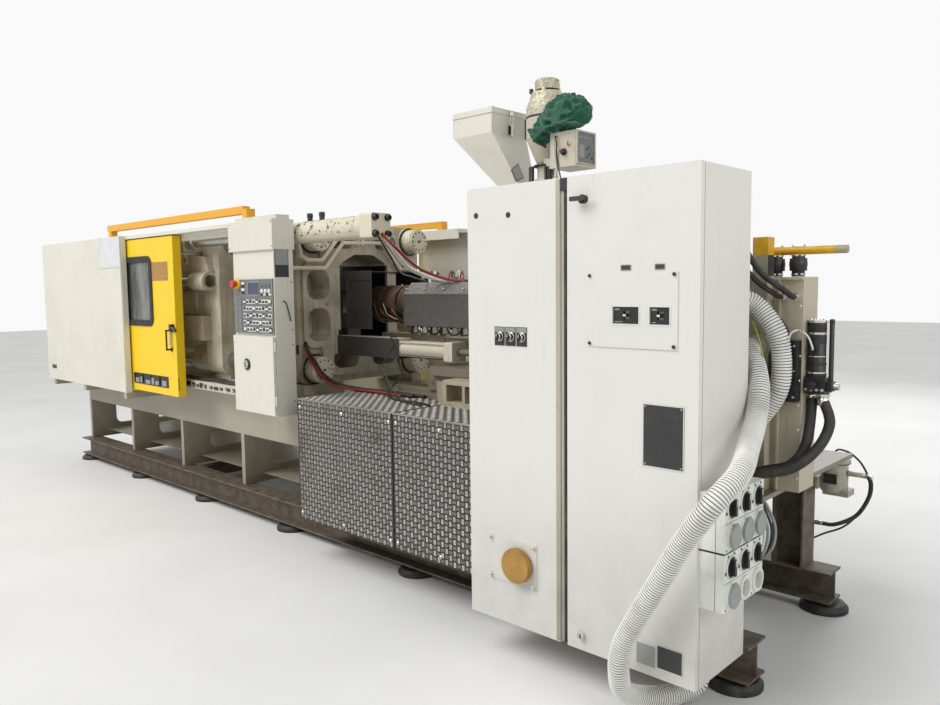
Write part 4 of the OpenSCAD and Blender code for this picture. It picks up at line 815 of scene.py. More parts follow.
# %% [markdown]
# Six socket outlets hang on the cabinet's side. Each has a rotary switch above and a round socket
# below. The black lines round each half are rubber seals, the dark discs in the sockets are the
# contact inserts, and four of the sockets are shut by grey flaps.

# %% Socket outlets
OUTLET_ROWS, OUTLET_PITCH, FIRST_OUTLET, HALF_OUTLET = (680, 475), 101.5, 12, 50.5
SOCKET_UP, DIAL_UP = 50, 148


def outlet_place(n, up):
    return FIRST_OUTLET + OUTLET_PITCH * (n % 3) + HALF_OUTLET, OUTLET_ROWS[n // 3] + up


outlets = Kit()
for z0, c in product(OUTLET_ROWS, range(3)):
    y0 = FIRST_OUTLET + OUTLET_PITCH * c
    yc = y0 + HALF_OUTLET
    outlets.box(60.1, 61.9, y0 + 0.7, y0 + 100.3, z0 + 0.7, z0 + 197.3, 1)
    outlets.box(92.1, 93.7, y0 - 0.2, y0 + 101.2, z0 + 98.1, z0 + 99.9, 1)
    outlets.turned((64, yc, z0 + SOCKET_UP), RIGHT, [(0.2, 61.5), (6, 61.5), (7, 57)], 1, 28)
    for turn in (30, 150, 270):
        t = math.radians(turn)
        outlets.turned((88, yc + 20 * math.cos(t), z0 + SOCKET_UP + 20 * math.sin(t)), RIGHT,
                       [(0, 8.4), (3.5, 8.4), (4, 6), (2, 5)], 2, 14)
    for side in (-24, 24):
        outlets.turned((93.8, yc + side, z0 + 190), RIGHT, [(0, 9), (1.5, 9), (1.7, 6), (0.6, 5)], 1,
                       14)
        outlets.turned((93.8, yc + side * 1.6, z0 + 8), RIGHT, [(0, 7.5), (1.2, 7.5), (0.5, 4)], 1, 14)
    outlets.rings([[(93.9, y0 + 4, z0 + 128), (93.9, y0 + 17, z0 + 134), (93.9, y0 + 6, z0 + 142)],
                   [(97, y0 + 5, z0 + 130), (97, y0 + 14, z0 + 134), (97, y0 + 7, z0 + 139)]], 1, False)
    ring = [(0.1, 80), (3.5, 80), (5.5, 77), (5.5, 72.5), (0.1, 72.5)]
    outlets.turned((94, yc, z0 + DIAL_UP), RIGHT, ring, 0, 36)
    for k in range(9):
        t = math.radians(-30 + 30 * k)
        y, z = yc + 36.5 * math.cos(t), z0 + DIAL_UP + 36.5 * math.sin(t)
        outlets.turned((99.3, y, z), RIGHT, [(0, 2.6), (0.6, 2.4)], 1, 8)
outlets.box(3, 90, 13, 315, 673.2, 679.8, 1)
outlets.turned((5, 240, 462), UP, [(0, 20), (4, 24), (13, 24)], 1, 20)
outlets.done("outlet_fittings", "machine", [PALE, BLACK, BRASS])
for n in range(6):
    y, z = outlet_place(n, DIAL_UP)
    kit = Kit()
    kit.box(111.8, 112.8, y - 1.6, y + 1.6, z + 6, z + 26)
    kit.done(f"dial_{n + 1}_mark", f"dial_{n + 1}_body", [WHITE_KEY])
for n in range(4):
    y, z = outlet_place(n, SOCKET_UP)
    kit = Kit()
    kit.turned((112, y, z), RIGHT, [(0, 80), (1.5, 79), (2.6, 74), (1.4, 66), (1.0, 20), (1.2, 6)], 0, 36)
    kit.done(f"cap_{n + 1}_face", f"cap_{n + 1}_body", [GREY])
print("outlets dressed")

# %% [markdown]
# The long front guard is bare sheet with a paper sleeve hung on it. The yellow door slides behind it:
# its window sits in a fat rubber gasket, a bare tan plate is riveted beside it, and the low slot is
# a black tray with dividers, where the operator keeps small things.

# %% Front guard and sliding door
kit = Kit()
kit.box(-5207, -4832, 136.4, 138.6, 1757, 1979, 0)
kit.box(-5200, -4840, 135.3, 136.8, 1764, 1974, 0)
border(kit, -5212, -4827, 140.2, 1750, 1985, 7, 5, 1)
for x in (-5195, -4845):
    kit.turned((x, 139, 1990), FRONT, [(0, 12), (3, 12), (5, 8)], 2, 14)
kit.box(-4842, -4820.6, 139.2, 140.2, 790, 1980, 3)
for z in (820, 1150, 1500, 1850):
    kit.bolt((-4830, 139.4, z), FRONT, 6, 2)
    kit.bolt((-6475, 139.8, z), FRONT, 6, 2)
kit.box(-6390, -6300, 138.9, 140.4, 884, 912, 4)
kit.done("front_guard_fittings", "machine", [PAPER, PALE, PLATED, BEIGE, BARE_PLATE], 0.5)

kit = Kit()
gasket(kit, -4985, 1565, 1138, 518, 64, 44, 190.4, 181)
kit.box(-4140, -4102, 166, 190.4, 1286, 1330, 1)
kit.turned((-4121, 176, 1308), (1, 0, -0.35), [(0, 26), (48, 26), (52, 20), (70, 16), (72, 10)], 1, 20)
kit.box(-4160, -4146, 176, 190.4, 1180, 1310, 2)
for z in (1150, 1285):
    kit.turned((-4152, 190, z), FRONT, [(0, 34), (3, 34), (5, 28)], 1, 20)
blank_plate(kit, -4422, -4168, 190, 1672, 1775, 3, 4, 3)
blank_plate(kit, -4422, -4168, 190, 1641, 1669, 3, 4, 2)
for x, z in product((-4413, -4177), (1682, 1765)):
    kit.turned((x, 188, z), FRONT, [(0, 7), (1.4, 6)], 2, 12)
border(kit, -4796, -4224, 190.2, 864, 946, 6, 3, 0)
for k in range(5):
    x = -4790 + 140 * k
    kit.box(x - 3, x + 3, 187.5, 196.8, 871, 939, 1)
for x, z, w, h in ((-4770, 872, 60, 34), (-4690, 872, 30, 46), (-4600, 872, 76, 28), (-4500, 872, 40, 50),
                   (-4440, 872, 54, 30), (-4330, 872, 70, 40)):
    kit.box(x, x + w, 188.6, 196.6, z, z + h, 5)
kit.done("front_door_fittings", "front_door_body", [RUBBER, BLACK, PLATED, TAN_PLATE, BRASS, GREY],
         0.8)
kit = Kit()
HANDLE_X, PANE_X = -3322, -4155
for z in (1150, 1285):
    kit.turned((HANDLE_X, 1720, z), BACK, [(0, 34), (3, 34), (5, 26)], 0, 20)
kit.tube([(HANDLE_X, y, z) for y, z in ((1722, 1150), (1750, 1152), (1756, 1165), (1756, 1270), (1750, 1283),
                                        (1722, 1285))], 14, 0, 12, 6)
loops = [(0, 1719.6), (0, 1725), (3, 1728), (41, 1728), (44, 1725), (44, 1719.6)]
kit.rings([rounded(PANE_X, 1565, 1138 - 2 * i, 518 - 2 * i, 64 - i, y) for i, y in loops], 0, True, False)
kit.done("rear_door_fittings", "rear_door_body", [RUBBER])
print("guards dressed")

# %% [markdown]
# The control column: a membrane panel with a dark screen, two blocks of keys and round switches,
# then a steel cover with a hexagonal lock. The keys are raised a millimetre, each with its own edge.
# They stay without signs.

# %% Control column and operator panel
panel = Kit()
face = 142.0
border(panel, -3186, -2760, face, 1303, 1633, 3, 1.6, 4)
border(panel, -3026, -2894, face, 1534, 1618, 6, 2.5, 0)
panel.box(-3020, -2900, face + 1.2, face + 3.9, 1540, 1612, 3)
for r, c in product(range(6), range(2)):
    x, z = -3177 + 39 * c, 1311 + 37 * r
    panel.box(x, x + 34, face - 2.6, face + 0.2, z, z + 31, 0)
    panel.box(x + 4, x + 30, face - 3.4, face - 2.2, z + 4, z + 27, 5)
for r in range(5):
    z = 1316 + 42 * r
    for c in range(9):
        x = -3084 + 35 * c
        tall = 14 if (r + c) % 3 else 20
        panel.box(x, x + 31, face - 2.4, face + 0.2, z, z + 26, 1 if (r * 5 + c * 3) % 4 else 2)
        panel.box(x + 4, x + 27, face - 3.6, face - 2.2, z + 5, z + 5 + tall,
                  2 if (r * 5 + c * 3) % 4 else 1)
for c, r in product(range(3), range(2)):
    panel.turned((-2872 + 38 * c, face, 1560 + 34 * r), FRONT,
                 [(0, 26), (2.4, 26), (3.2, 22), (3.2, 18), (6, 17), (6.8, 13)], 5 if r else 1, 24)
for c in range(4):
    panel.box(-2884 + 29 * c, -2861 + 29 * c, face - 2.8, face + 0.2, 1534, 1546, 1 if c % 2 else 2)
for r in range(4):
    panel.box(-3098, -3066, face - 2.6, face + 0.2, 1544 + 19 * r, 1558 + 19 * r, 1 if r % 2 else 2)
panel.turned((-3146, face + 0.5, 1606), FRONT,
             [(0, 62), (3, 62), (4, 58), (4, 47.5), (12.6, 47), (12.6, 40)], 6, 30)
panel.done("panel_keys", "machine", [GREY, WHITE_KEY, BLACK, SCREEN, PLATED, PANEL, SIGNAL_YELLOW],
           0.4)

kit = Kit()
kit.turned((-3046, 129.6, 1115), FRONT, [(0, 72), (2.5, 72), (3.5, 68), (3.5, 50)], 1, 32)
kit.turned((-3046, 126.2, 1115), FRONT, [(0, 54), (7, 54), (9, 49)], 0, 6, False)
kit.box(-3049, -3043, 116.6, 118, 1098, 1132, 1)
for z in (868, 1250):
    kit.turned((-3185, 132.2, z), FRONT, [(0, 12), (2, 12), (3.5, 8)], 0, 16)
kit.done("column_lock", "column_cover_body", [PLATED, BLACK])

kit = Kit()
kit.box(-2750.2, -2748.2, 157, 251, 1641, 1832, 0)
kit.box(-2749.0, -2747.4, 161, 247, 1712, 1806, 1)
kit.box(-2749.0, -2747.4, 161, 247, 1811, 1827, 2)
for z in (900, 1240, 1330, 1610):
    kit.turned((-2750.1, 266, z), RIGHT, [(0, 9), (1.5, 8), (2, 5)], 3, 12)
for x, z in product((-3222, -2752), (1822, 1964)):
    kit.turned((x + (6 if x < -3000 else 0), 140.2, z), FRONT, [(0, 9), (1.5, 8), (2, 5)], 3, 12)
kit.box(-3238, -2738, 137.6, 140.3, 1800, 1804.5, 4)
kit.tube([(-2742, 200, 1500), (-2741, 220, 1490), (-2741, 236, 1440), (-2742, 252, 1380)], 7, 3, 8, 5)
kit.box(-2750.2, -2738, 285, 300, 1180, 1236, 3)
kit.done("column_trim", "machine", [BARE_PLATE, GREY, TAN_PLATE, BLACK, CREAM_SHADE], 0.4)
print("column dressed")

# %% [markdown]
# Below the door opening runs the sill. Its front is a row of cut-outs, full of black plugs and cable,
# so it is built as a plate with dark pockets in front of the bed rail, with a bundle laid along it.

# %% Sill of the mould space
kit = Kit()
kit.box(-4895, -3275, 295, 300.2, 868, 925, 0)
x = -4870
while x < -3330:
    w = random.uniform(28, 62)
    kit.box(x, x + w, 290, 295.2, 880 + random.uniform(0, 8), 908 + random.uniform(-6, 8), 1)
    if random.random() < 0.5:
        kit.rod((x + w / 2, 296, 892), (x + w / 2, 276, 892), random.uniform(12, 20), 2, 12)
    x += w + random.uniform(14, 40)
route = [(-4890 + 90 * k, 352 + 9 * math.sin(k * 1.7), 937 + 4 * math.cos(k)) for k in range(18)]
kit.tube(route, 22, 1, 12, 4)
kit.tube([(a, b - 26, c - 3) for a, b, c in route], 15, 3, 10, 4)
kit.done("sill_plugs", "machine", [CREAM_SHADE, BLACK, PLATED, RUBBER], 0.8)
print("sill dressed")

# %% [markdown]
# The covers in front of the injection unit are five-bar tread plate: short raised bars in groups of
# five, turned a quarter from group to group. Feet have worn the tops bright. Each bar is a low ridge
# with its ends cut to points, because that is what catches the light on real plate.

# %% Tread plate bars
def tread_bar(kit, middle, along, across, out, length=19, wide=3.6, high=1.5):
    m, a, b, n = Vector(middle), Vector(along), Vector(across), Vector(out)
    foot = [m + a * length / 2, m + b * wide / 2 + a * length * 0.3, m + b * wide / 2 - a * length * 0.3,
            m - a * length / 2, m - b * wide / 2 - a * length * 0.3, m - b * wide / 2 + a * length * 0.3]
    low = [kit.bm.verts.new(at(*(p - n * 0.1))) for p in foot]
    ridge = [kit.bm.verts.new(at(*(m + a * length * s + n * high))) for s in (0.32, -0.32)]
    kit.face((low[0], low[1], ridge[0]), 0)
    kit.face((low[1], low[2], ridge[1], ridge[0]), 0)
    kit.face((low[2], low[3], ridge[1]), 0)
    kit.face((low[3], low[4], ridge[1]), 0)
    kit.face((low[4], low[5], ridge[0], ridge[1]), 0)
    kit.face((low[5], low[0], ridge[0]), 0)


def tread_field(kit, corner, u, v, out, width, height, pitch=27):
    corner, u, v = Vector(corner), Vector(u), Vector(v)
    columns, rows = int(width / pitch), int(height / pitch)
    for i, j in product(range(columns), range(rows)):
        middle = corner + u * ((i + 0.5) * width / columns) + v * ((j + 0.5) * height / rows)
        lie, rise = (u, v) if (i + j) % 2 else (v, u)
        for k in (-2, -1, 0, 1, 2):
            tread_bar(kit, middle + rise * 4.9 * k, lie, rise, out)


TREADS = ((-2598, -1768), (-1762, -1090))
tread = Kit()
for x0, x1 in TREADS:
    tread_field(tread, (x0 + 8, 180, 238), RIGHT, UP, FRONT, x1 - x0 - 16, 694)
    tread_field(tread, (x0 + 8, 190, 940), RIGHT, BACK, UP, x1 - x0 - 16, 450)
tread.done("tread_lozenges", "machine", [LOZENGE])
edges = Kit()
for x0, x1 in TREADS:
    edges.box(x0, x1, 178.6, 186, 933, 941.6, 0)
    for x, z in product((x0 + 25, (x0 + x1) / 2, x1 - 25), (270, 890)):
        edges.turned((x, 179.9, z), FRONT, [(0, 20), (2.5, 20), (5.5, 12)], 1, 18)
        edges.turned((x, 174.4, z), BACK, [(0, 7), (0.8, 6.8)], 2, 6, False)
edges.done("tread_edges", "machine", [LOZENGE, PLATED, BLACK], 0.8)
print("tread plates dressed")

# %% [markdown]
# Round the fixed platen: dark joints behind the nuts, big black socket screws in the traverse
# cylinders' end heads, the two bleed knobs and cast bosses with grease nipples. Three hoses and two
# thin cables hang past the low nut and lie along the floor of the bay.

# %% Fittings on the platen and the traverse cylinders
TRAVERSE_CYLINDERS = ((370, 1906), (1540, 1042))
kit = Kit()
for y, z in product(TIE_Y, TIE_Z):
    kit.turned((-2918.2, y, z), RIGHT, [(0, 197), (3, 197), (5, 192), (5, 170)], 1, 44)
    kit.turned((-2818.2, y, z), RIGHT, [(0, 16), (5.6, 16), (6.2, 12)], 1, 16)
    kit.turned((-2850, y, z), RIGHT, [(0, 168.8), (3, 168.8)], 1, 44)
for y, z in TRAVERSE_CYLINDERS:
    for i, j in product((-44, 44), (-44, 44)):
        kit.socket_bolt((-2042.2, y + i, z + j), RIGHT, 22, 1)
        kit.turned((-2042.2, y + i, z + j), RIGHT, [(0.1, 40), (1.6, 40)], 2, 22)
    kit.turned((-2149, y, z), RIGHT, [(0, 133), (7, 133)], 0, 40)
for x in (-2688, -2569):
    kit.turned((x, 370, 1990), UP, [(0, 34), (10, 36), (22, 36), (26, 30), (26, 12), (22, 10)], 1, 20)
kit.box(-2940, -2912, 730, 752, 1240, 1300, 2)
kit.box(-2918.4, -2872, 770, 880, 1262, 1312, 2)
for y in (640, 1270):
    kit.turned((-2918.4, y, AXIS_Z), RIGHT, [(0, 20), (10, 20), (14, 12), (20, 8)], 3, 16)
kit.done("platen_fittings", "machine", [CREAM_SHADE, BLACK, DARK_STEEL, BRASS], 0.8)

for name, size, finish, points in (
        ("bay_hose_long", 22, RUBBER,
         [(-2916, 470, 1235), (-2890, 468, 1180), (-2822, 470, 1120), (-2790, 505, 1040), (-2700, 560, 975),
          (-2500, 600, 955), (-2250, 612, 953), (-2060, 600, 952)]),
        ("bay_hose_red", 16, RED_HOSE,
         [(-2916, 462, 1215), (-2880, 458, 1160), (-2812, 462, 1085), (-2750, 520, 985), (-2600, 575, 953),
          (-2350, 590, 952), (-2120, 560, 951)]),
        ("bay_hose_inner", 19, RUBBER,
         [(-2916, 480, 1200), (-2872, 478, 1120), (-2800, 520, 1010), (-2660, 600, 954), (-2400, 628, 953),
          (-2000, 636, 951)]),
        ("bay_cable_thin", 8, BLACK,
         [(-2388, 770, 1270), (-2384, 750, 1273), (-2370, 706, 1268), (-2340, 696, 1220),
          (-2250, 540, 1120), (-2100, 490, 985), (-1960, 440, 948), (-1800, 420, 946)]),
        ("bay_cable_drain", 12, RUBBER,
         [(-2370, 760, 1140), (-2352, 748, 1120), (-2300, 720, 1040), (-2240, 560, 965), (-2100, 480, 950),
          (-1900, 470, 949), (-1760, 440, 949)])):
    laid_line(name, "machine", points, size, finish)
print("platen dressed")

# %% [markdown]
# The nozzle end is the busiest place: heater bands with clamp screws, copper-coloured thermocouple
# wires that loop from band to band, and plugs on the cover's top and under its edge. Wires are thin
# tubes with seeded random bulges, so each run of the script lays them the same way.

# %% Barrel, heater bands and wires
kit = Kit()
for x in range(-2770, -1700, 150):
    kit.turned((x + 4, AXIS_Y, AXIS_Z), RIGHT, [(0, 221), (7, 225), (14, 221)], 0, 40)
    kit.turned((x + 112, AXIS_Y, AXIS_Z), RIGHT, [(0, 221), (7, 225), (14, 221)], 0, 40)
    for turn in (200, 248):
        t = math.radians(turn)
        y, z = AXIS_Y + 112 * math.cos(t), AXIS_Z + 112 * math.sin(t)
        kit.box(x + 50, x + 82, y - 9, y + 9, z - 9, z + 9, 1)
        kit.rod((x + 30, y, z), (x + 100, y, z), 7, 1, 10)
kit.turned((-2850, AXIS_Y, AXIS_Z), RIGHT, [(0, 110), (18, 122), (40, 142), (60, 160), (66, 172)], 0, 36)
for a, b in around(10, 84):
    kit.bolt((-2782, AXIS_Y + a, AXIS_Z + b), (-1, 0, 0), 10, 1)
kit.turned((-2946, AXIS_Y, AXIS_Z), RIGHT, [(0, 92), (10, 96), (52, 96), (60, 92)], 0, 32)
kit.done("heater_clamps", "injection", [BURNT, DARK_STEEL], 0.6)

wires = Kit()
for n in range(17):
    start = random.uniform(150, 330)
    x = -2800 + 19 * n
    points = []
    for k in range(6):
        t = math.radians(start + k * random.uniform(14, 26))
        r = 118 + random.uniform(2, 28) * math.sin(math.pi * k / 5)
        points.append((x + k * random.uniform(16, 34), AXIS_Y + r * math.cos(t), AXIS_Z + r * math.sin(t)))
    wires.tube(points, random.uniform(5, 8), n % 3, 7, 4)
for n in range(9):
    x = -2330 + 84 * n
    wires.tube([(x, 812, 1352), (x + 16, 800, 1322), (x + 40, 806, 1296), (x + 70, 830, 1300),
                (x + 84, 850, 1330)], random.uniform(8, 13), (1, 3, 1)[n % 3], 8, 4)
    wires.box(x + 8, x + 44, 806, 838, 1334, 1368, 3)
    wires.rod((x + 26, 822, 1336), (x + 26, 822, 1290), 16, (3, 2, 1)[n % 3], 10)
wires.done("heater_wires", "injection", [COPPER, BLACK, PLATED, RUBBER])

top = Kit()
for n in range(13):
    x = -2335 + 46 * n + random.uniform(-6, 6)
    y = 880 + random.uniform(0, 90)
    w, d, h = random.uniform(24, 44), random.uniform(26, 50), random.uniform(18, 44)
    top.box(x, x + w, y, y + d, 1599.6, 1600 + h, (0, 0, 1, 2)[n % 4])
    top.tube([(x + w / 2, y + d / 2, 1600 + h - 2), (x + w / 2 + 12, y + 30, 1640 + h),
              (x + w / 2 + 40, y + 10, 1622), (x + 60, y - 10, 1606)], 9, (0, 3, 1)[n % 3], 8, 4)
for k, shift in enumerate((0, 14, -12)):
    top.tube([(-2340 + 10 * k, 950 + shift, 1606), (-2200, 946 + shift, 1607 + 4 * k),
              (-2000, 952 + shift, 1606), (-1800, 940 + shift, 1607), (-1590, 948 + shift, 1606)], 12, 0, 8,
             5)
for x, y in product((-2335, -2180, -2020, -1860, -1700, -1590), (813, 1097)):
    top.turned((x, y, 1560), (0, -1 if y < 900 else 1, 0.9), [(-22, 12), (5, 12), (7, 8)], 2, 12)
border(top, -2350.5, -1564.5, 795.3, 1339.5, 1532, 7, 1.6, 4)
top.done("cover_plugs", "injection", [BLACK, PALE, PLATED, RED_HOSE, GALVANISED], 0.6)

FEED_CROSSING = ("machine", "injection", at(-2040, 420, 1840), at(-2040, 820, 1620))
for name, size, finish, points in (
        ("feed_hose_red", 17, RED_HOSE,
         [(-2038, 372, 1862), (-2012, 380, 1835), (-2000, 430, 1790), (-2030, 560, 1720),
          (-2080, 700, 1672), (-2040, 800, 1630), (-1980, 850, 1612), (-1900, 880, 1606)]),
        ("feed_hose_pale", 24, PALE,
         [(-2040, 400, 1850), (-2030, 410, 1820), (-2050, 480, 1760), (-2110, 600, 1700),
          (-2150, 720, 1660), (-2100, 820, 1622), (-2020, 860, 1608)]),
        ("feed_cable_black", 11, BLACK,
         [(-2042, 330, 1880), (-2028, 342, 1840), (-2060, 450, 1740), (-2160, 600, 1660),
          (-2200, 740, 1630), (-2210, 850, 1608)])):
    laid_line(name, FEED_CROSSING, points, size, finish)
print("barrel dressed")

# %% [markdown]
# The square hopper has a toggle latch that holds its lid and a bare plate on its leaning side. The
# drying hopper next to it wears a skin of crumpled foil over its dome and cap. Crumpled sheet is a
# turned shape whose radius is pushed in and out by Voronoi cells: the difference between the two
# nearest cell centres gives flat facets with sharp creases, as foil and stiff cloth have.

# %% Crumpled shells
def crease(point, size, seed):
    cells = noise.voronoi(Vector(point) / size + Vector((seed, seed * 0.7, 3.1)))[0]
    return cells[1] - cells[0]


def crumpled_turning(kit, x, y, profile, size, depth, seed, sides=72, rows_between=7, finish=0):
    rows = []
    for (z0, d0), (z1, d1) in zip(profile, profile[1:]):
        for k in range(rows_between):
            share = k / rows_between
            z, r = z0 + (z1 - z0) * share, (d0 + (d1 - d0) * share) / 2
            row = []
            for n in range(sides):
                t = math.tau * n / sides
                px, py = r * math.cos(t), r * math.sin(t)
                push = 1 + depth * (crease((px, py, z), size, seed) - 0.4) / r
                row.append((x + px * push, y + py * push, z))
            rows.append(row)
    kit.rings(rows, finish, False, False)


print("sample crease", round(crease((0, 0, 0), 30, 1), 3))

# %% Hopper and dryer fittings
HOPPER_SIDE, HOPPER_SLOPE = -1630, 170 / 392


def on_leaning_side(y, z, out):
    return HOPPER_SIDE + (2400 - z) * HOPPER_SLOPE + out, y, z


kit = Kit()
kit.box(-1630.2, -1620, 946, 976, 2402, 2450, 3)
kit.box(-1630.2, -1616, 950, 972, 2396, 2402, 0)
kit.rod((-1617, 961, 2400), (-1617, 961, 2450), 12, 0, 14)
for y in (950, 972):
    kit.rod((-1619, y, 2446), (-1619, y, 2507), 4.5, 0, 8)
kit.rod((-1619, 948, 2507), (-1619, 974, 2507), 5, 0, 8)
corners = ((860, 2193), (868, 2127), (951, 2157), (944, 2241))
middle = [sum(c[k] for c in corners) / 4 for k in (0, 1)]
for out, share, finish in ((1.2, 1, 1), (3.0, 0.84, 2)):
    ring = [(middle[0] + (y - middle[0]) * share, middle[1] + (z - middle[1]) * share) for y, z in corners]
    kit.rings([[on_leaning_side(y, z, depth) for y, z in ring] for depth in (-1.5, out)], finish, False)
for x, y in product((-1917, -1631), (812, 1098)):
    kit.rod((x, y, 2402), (x, y, 2503), 5, 4, 10)
kit.turned((FUNNEL_X, AXIS_Y, 1998), UP, [(0, 118), (10, 118), (10, 97)], 4, 36)
for a, b in around(6, 50):
    kit.bolt((FUNNEL_X + a, AXIS_Y + b, 2008), UP, 6, 0)
kit.rod((-1628, 1093, 2240), (-1628, 1093, 2500), 9, 3, 8)
kit.box(-1630.2, -1622, 1086, 1097, 2378, 2392, 0)
kit.done("hopper_latch", "injection", [PLATED, BARE_PLATE, GREY, BLACK, CREAM_SHADE], 0.5)
kit = Kit()
kit.box(-1626.2, -1617, 946, 976, 2508, 2524, 0)
kit.tube([(-1800, 955, 2534), (-1800, 955, 2562), (-1790, 955, 2572), (-1750, 955, 2572),
          (-1740, 955, 2562), (-1740, 955, 2534)], 12, 0, 12, 5)
kit.done("hopper_lid_fittings", "hopper_lid_body", [PLATED], 0.5)

dryer = Kit()
size = 224
crumpled_turning(dryer, DRYER_X, AXIS_Y,
                 [(2457, size + 1), (2500, size + 2), (2541, size - 31), (2581, size - 57)], 15, 5, 2,
                 rows_between=11)
crumpled_turning(dryer, DRYER_X, AXIS_Y, [(2594.5, 133), (2640, 134), (2649.5, 107), (2650, 60), (2650, 1)],
                 13, 3, 5, rows_between=7)
dryer.turned((DRYER_X, AXIS_Y, 2446), UP, [(0, size + 0.5), (2, size + 5), (8, size + 5), (11, size + 0.5)],
             1, 56)
dryer.turned((DRYER_X, AXIS_Y, 2581), UP, [(0, 112), (13, 112)], 1, 44)
for turn in (20, 110, 200, 290):
    t = math.radians(turn)
    x, y = DRYER_X + 58 * math.cos(t), AXIS_Y + 58 * math.sin(t)
    dryer.box(x - 9, x + 9, y - 9, y + 9, 2579, 2596, 0)
dryer.rod((-1460, 930, 2520), (-1452, 930, 2600), 5, 1, 8)
dryer.box(-1462, -1446, 922, 938, 2588, 2612, 1)
dryer.turned((DRYER_X, AXIS_Y, 2338), UP, [(0, size + 0.5), (1, size + 3), (5, size + 3), (7, size + 0.5)],
             2, 56)
dryer.turned((DRYER_X, AXIS_Y, 2196), UP, [(0, 112), (2, 150), (10, 150), (12, 118)], 1, 44)
for x, y, d, finish in ((-1440, 905, 22, 1), (-1418, 890, 20, 1), (-1330, 893, 16, 1), (-1312, 905, 14, 1),
                        (-1300, 920, 18, 3)):
    dryer.rod((x, y, 1699), (x, y, 2200), d, finish, 14)
for z, d in ((1718, 152), (1950, 132), (2120, 132)):
    dryer.turned((DRYER_X, AXIS_Y, z), UP, [(0, 111), (0.5, d), (14, d), (14.5, 111)], 2, 40)
    for a, b in around(8, d / 2 - 9, 0.5):
        dryer.bolt((DRYER_X + a, AXIS_Y + b, z + 14), UP, 5, 3)
dryer.done("dryer_skin", "injection", [FOIL, BLACK, CREAM_SHADE, PLATED])

control = Kit()
control.box(-1041.2, -1037, 762, 903, 2168, 2314, 0)
for y0, y1, z0, z1 in ((752, 762, 2162, 2322), (903, 913, 2162, 2322), (762, 903, 2314, 2322),
                       (762, 903, 2162, 2168)):
    control.box(-1041.2, -1032, y0, y1, z0, z1, 3)
control.box(-1037.2, -1036, 776, 820, 2192, 2254, 2)
for y, z in ((842, 2236), (860, 2248), (842, 2200), (864, 2214), (884, 2240), (884, 2196)):
    control.turned((-1037.2, y, z), RIGHT, [(0, 11), (3, 11), (4, 8)], (4, 2, 1)[(y + z) % 3], 14)
for k in range(3):
    control.box(-1037.2, -1035.6, 774 + 40 * k, 800 + 40 * k, 2286, 2292, 2)
control.turned((-1107, 750.2, 2222), FRONT, [(0, 34), (6, 34), (9, 30), (9, 24), (22, 22), (24, 18)], 1, 28)
control.turned((-1082, 750.2, 2252), FRONT, [(0, 14), (4, 14)], 5, 16)
control.rod((-1082, 747, 2252), (-1068, 726, 2266), 7, 5, 10)
control.box(-1196, -1036, 746, 919, 2150, 2160.3, 3)
control.done("dryer_control_fittings", "injection", [PANEL, BLACK, GREY, CREAM_SHADE, SCREEN, BRASS])
DRYER_CROSSING = ("injection", "machine", at(-1146, 744, 2140), at(-1046, 400, 1992))
laid_line("dryer_cable_black", DRYER_CROSSING,
          [(-1150, 748, 2302), (-1152, 738, 2296), (-1140, 736, 2262), (-1146, 740, 2220),
           (-1138, 742, 2160), (-1090, 690, 2040), (-1040, 400, 1990), (-1026, 300, 1980),
           (-1024, 280, 1976)], 7, BLACK, sides=8)
laid_line("dryer_cable_pale", DRYER_CROSSING,
          [(-1158, 748, 2290), (-1160, 739, 2270), (-1158, 740, 2215), (-1152, 742, 2160),
           (-1110, 700, 2050), (-1062, 410, 1992), (-1046, 300, 1980), (-1044, 280, 1976)], 6, PALE,
          sides=8)
print("hopper and dryer dressed")

# %% [markdown]
# The dust bag is a lofted shell: a ring of points is carried along the bag's spine from its open
# cuff, over the control box, to the far end, and grows and shrinks with the bag. Noise pulls long
# folds into it, and two sizes of crease stand up as ridges. The cloth stays outside the dryer's wall
# and lies on top of the control box. The rings are welded, so that the creases stay sharp.

# %% The dust bag
DRYER_CLEARANCE, BOX_TOP, BOX_FRONT = 116, 2324, 747


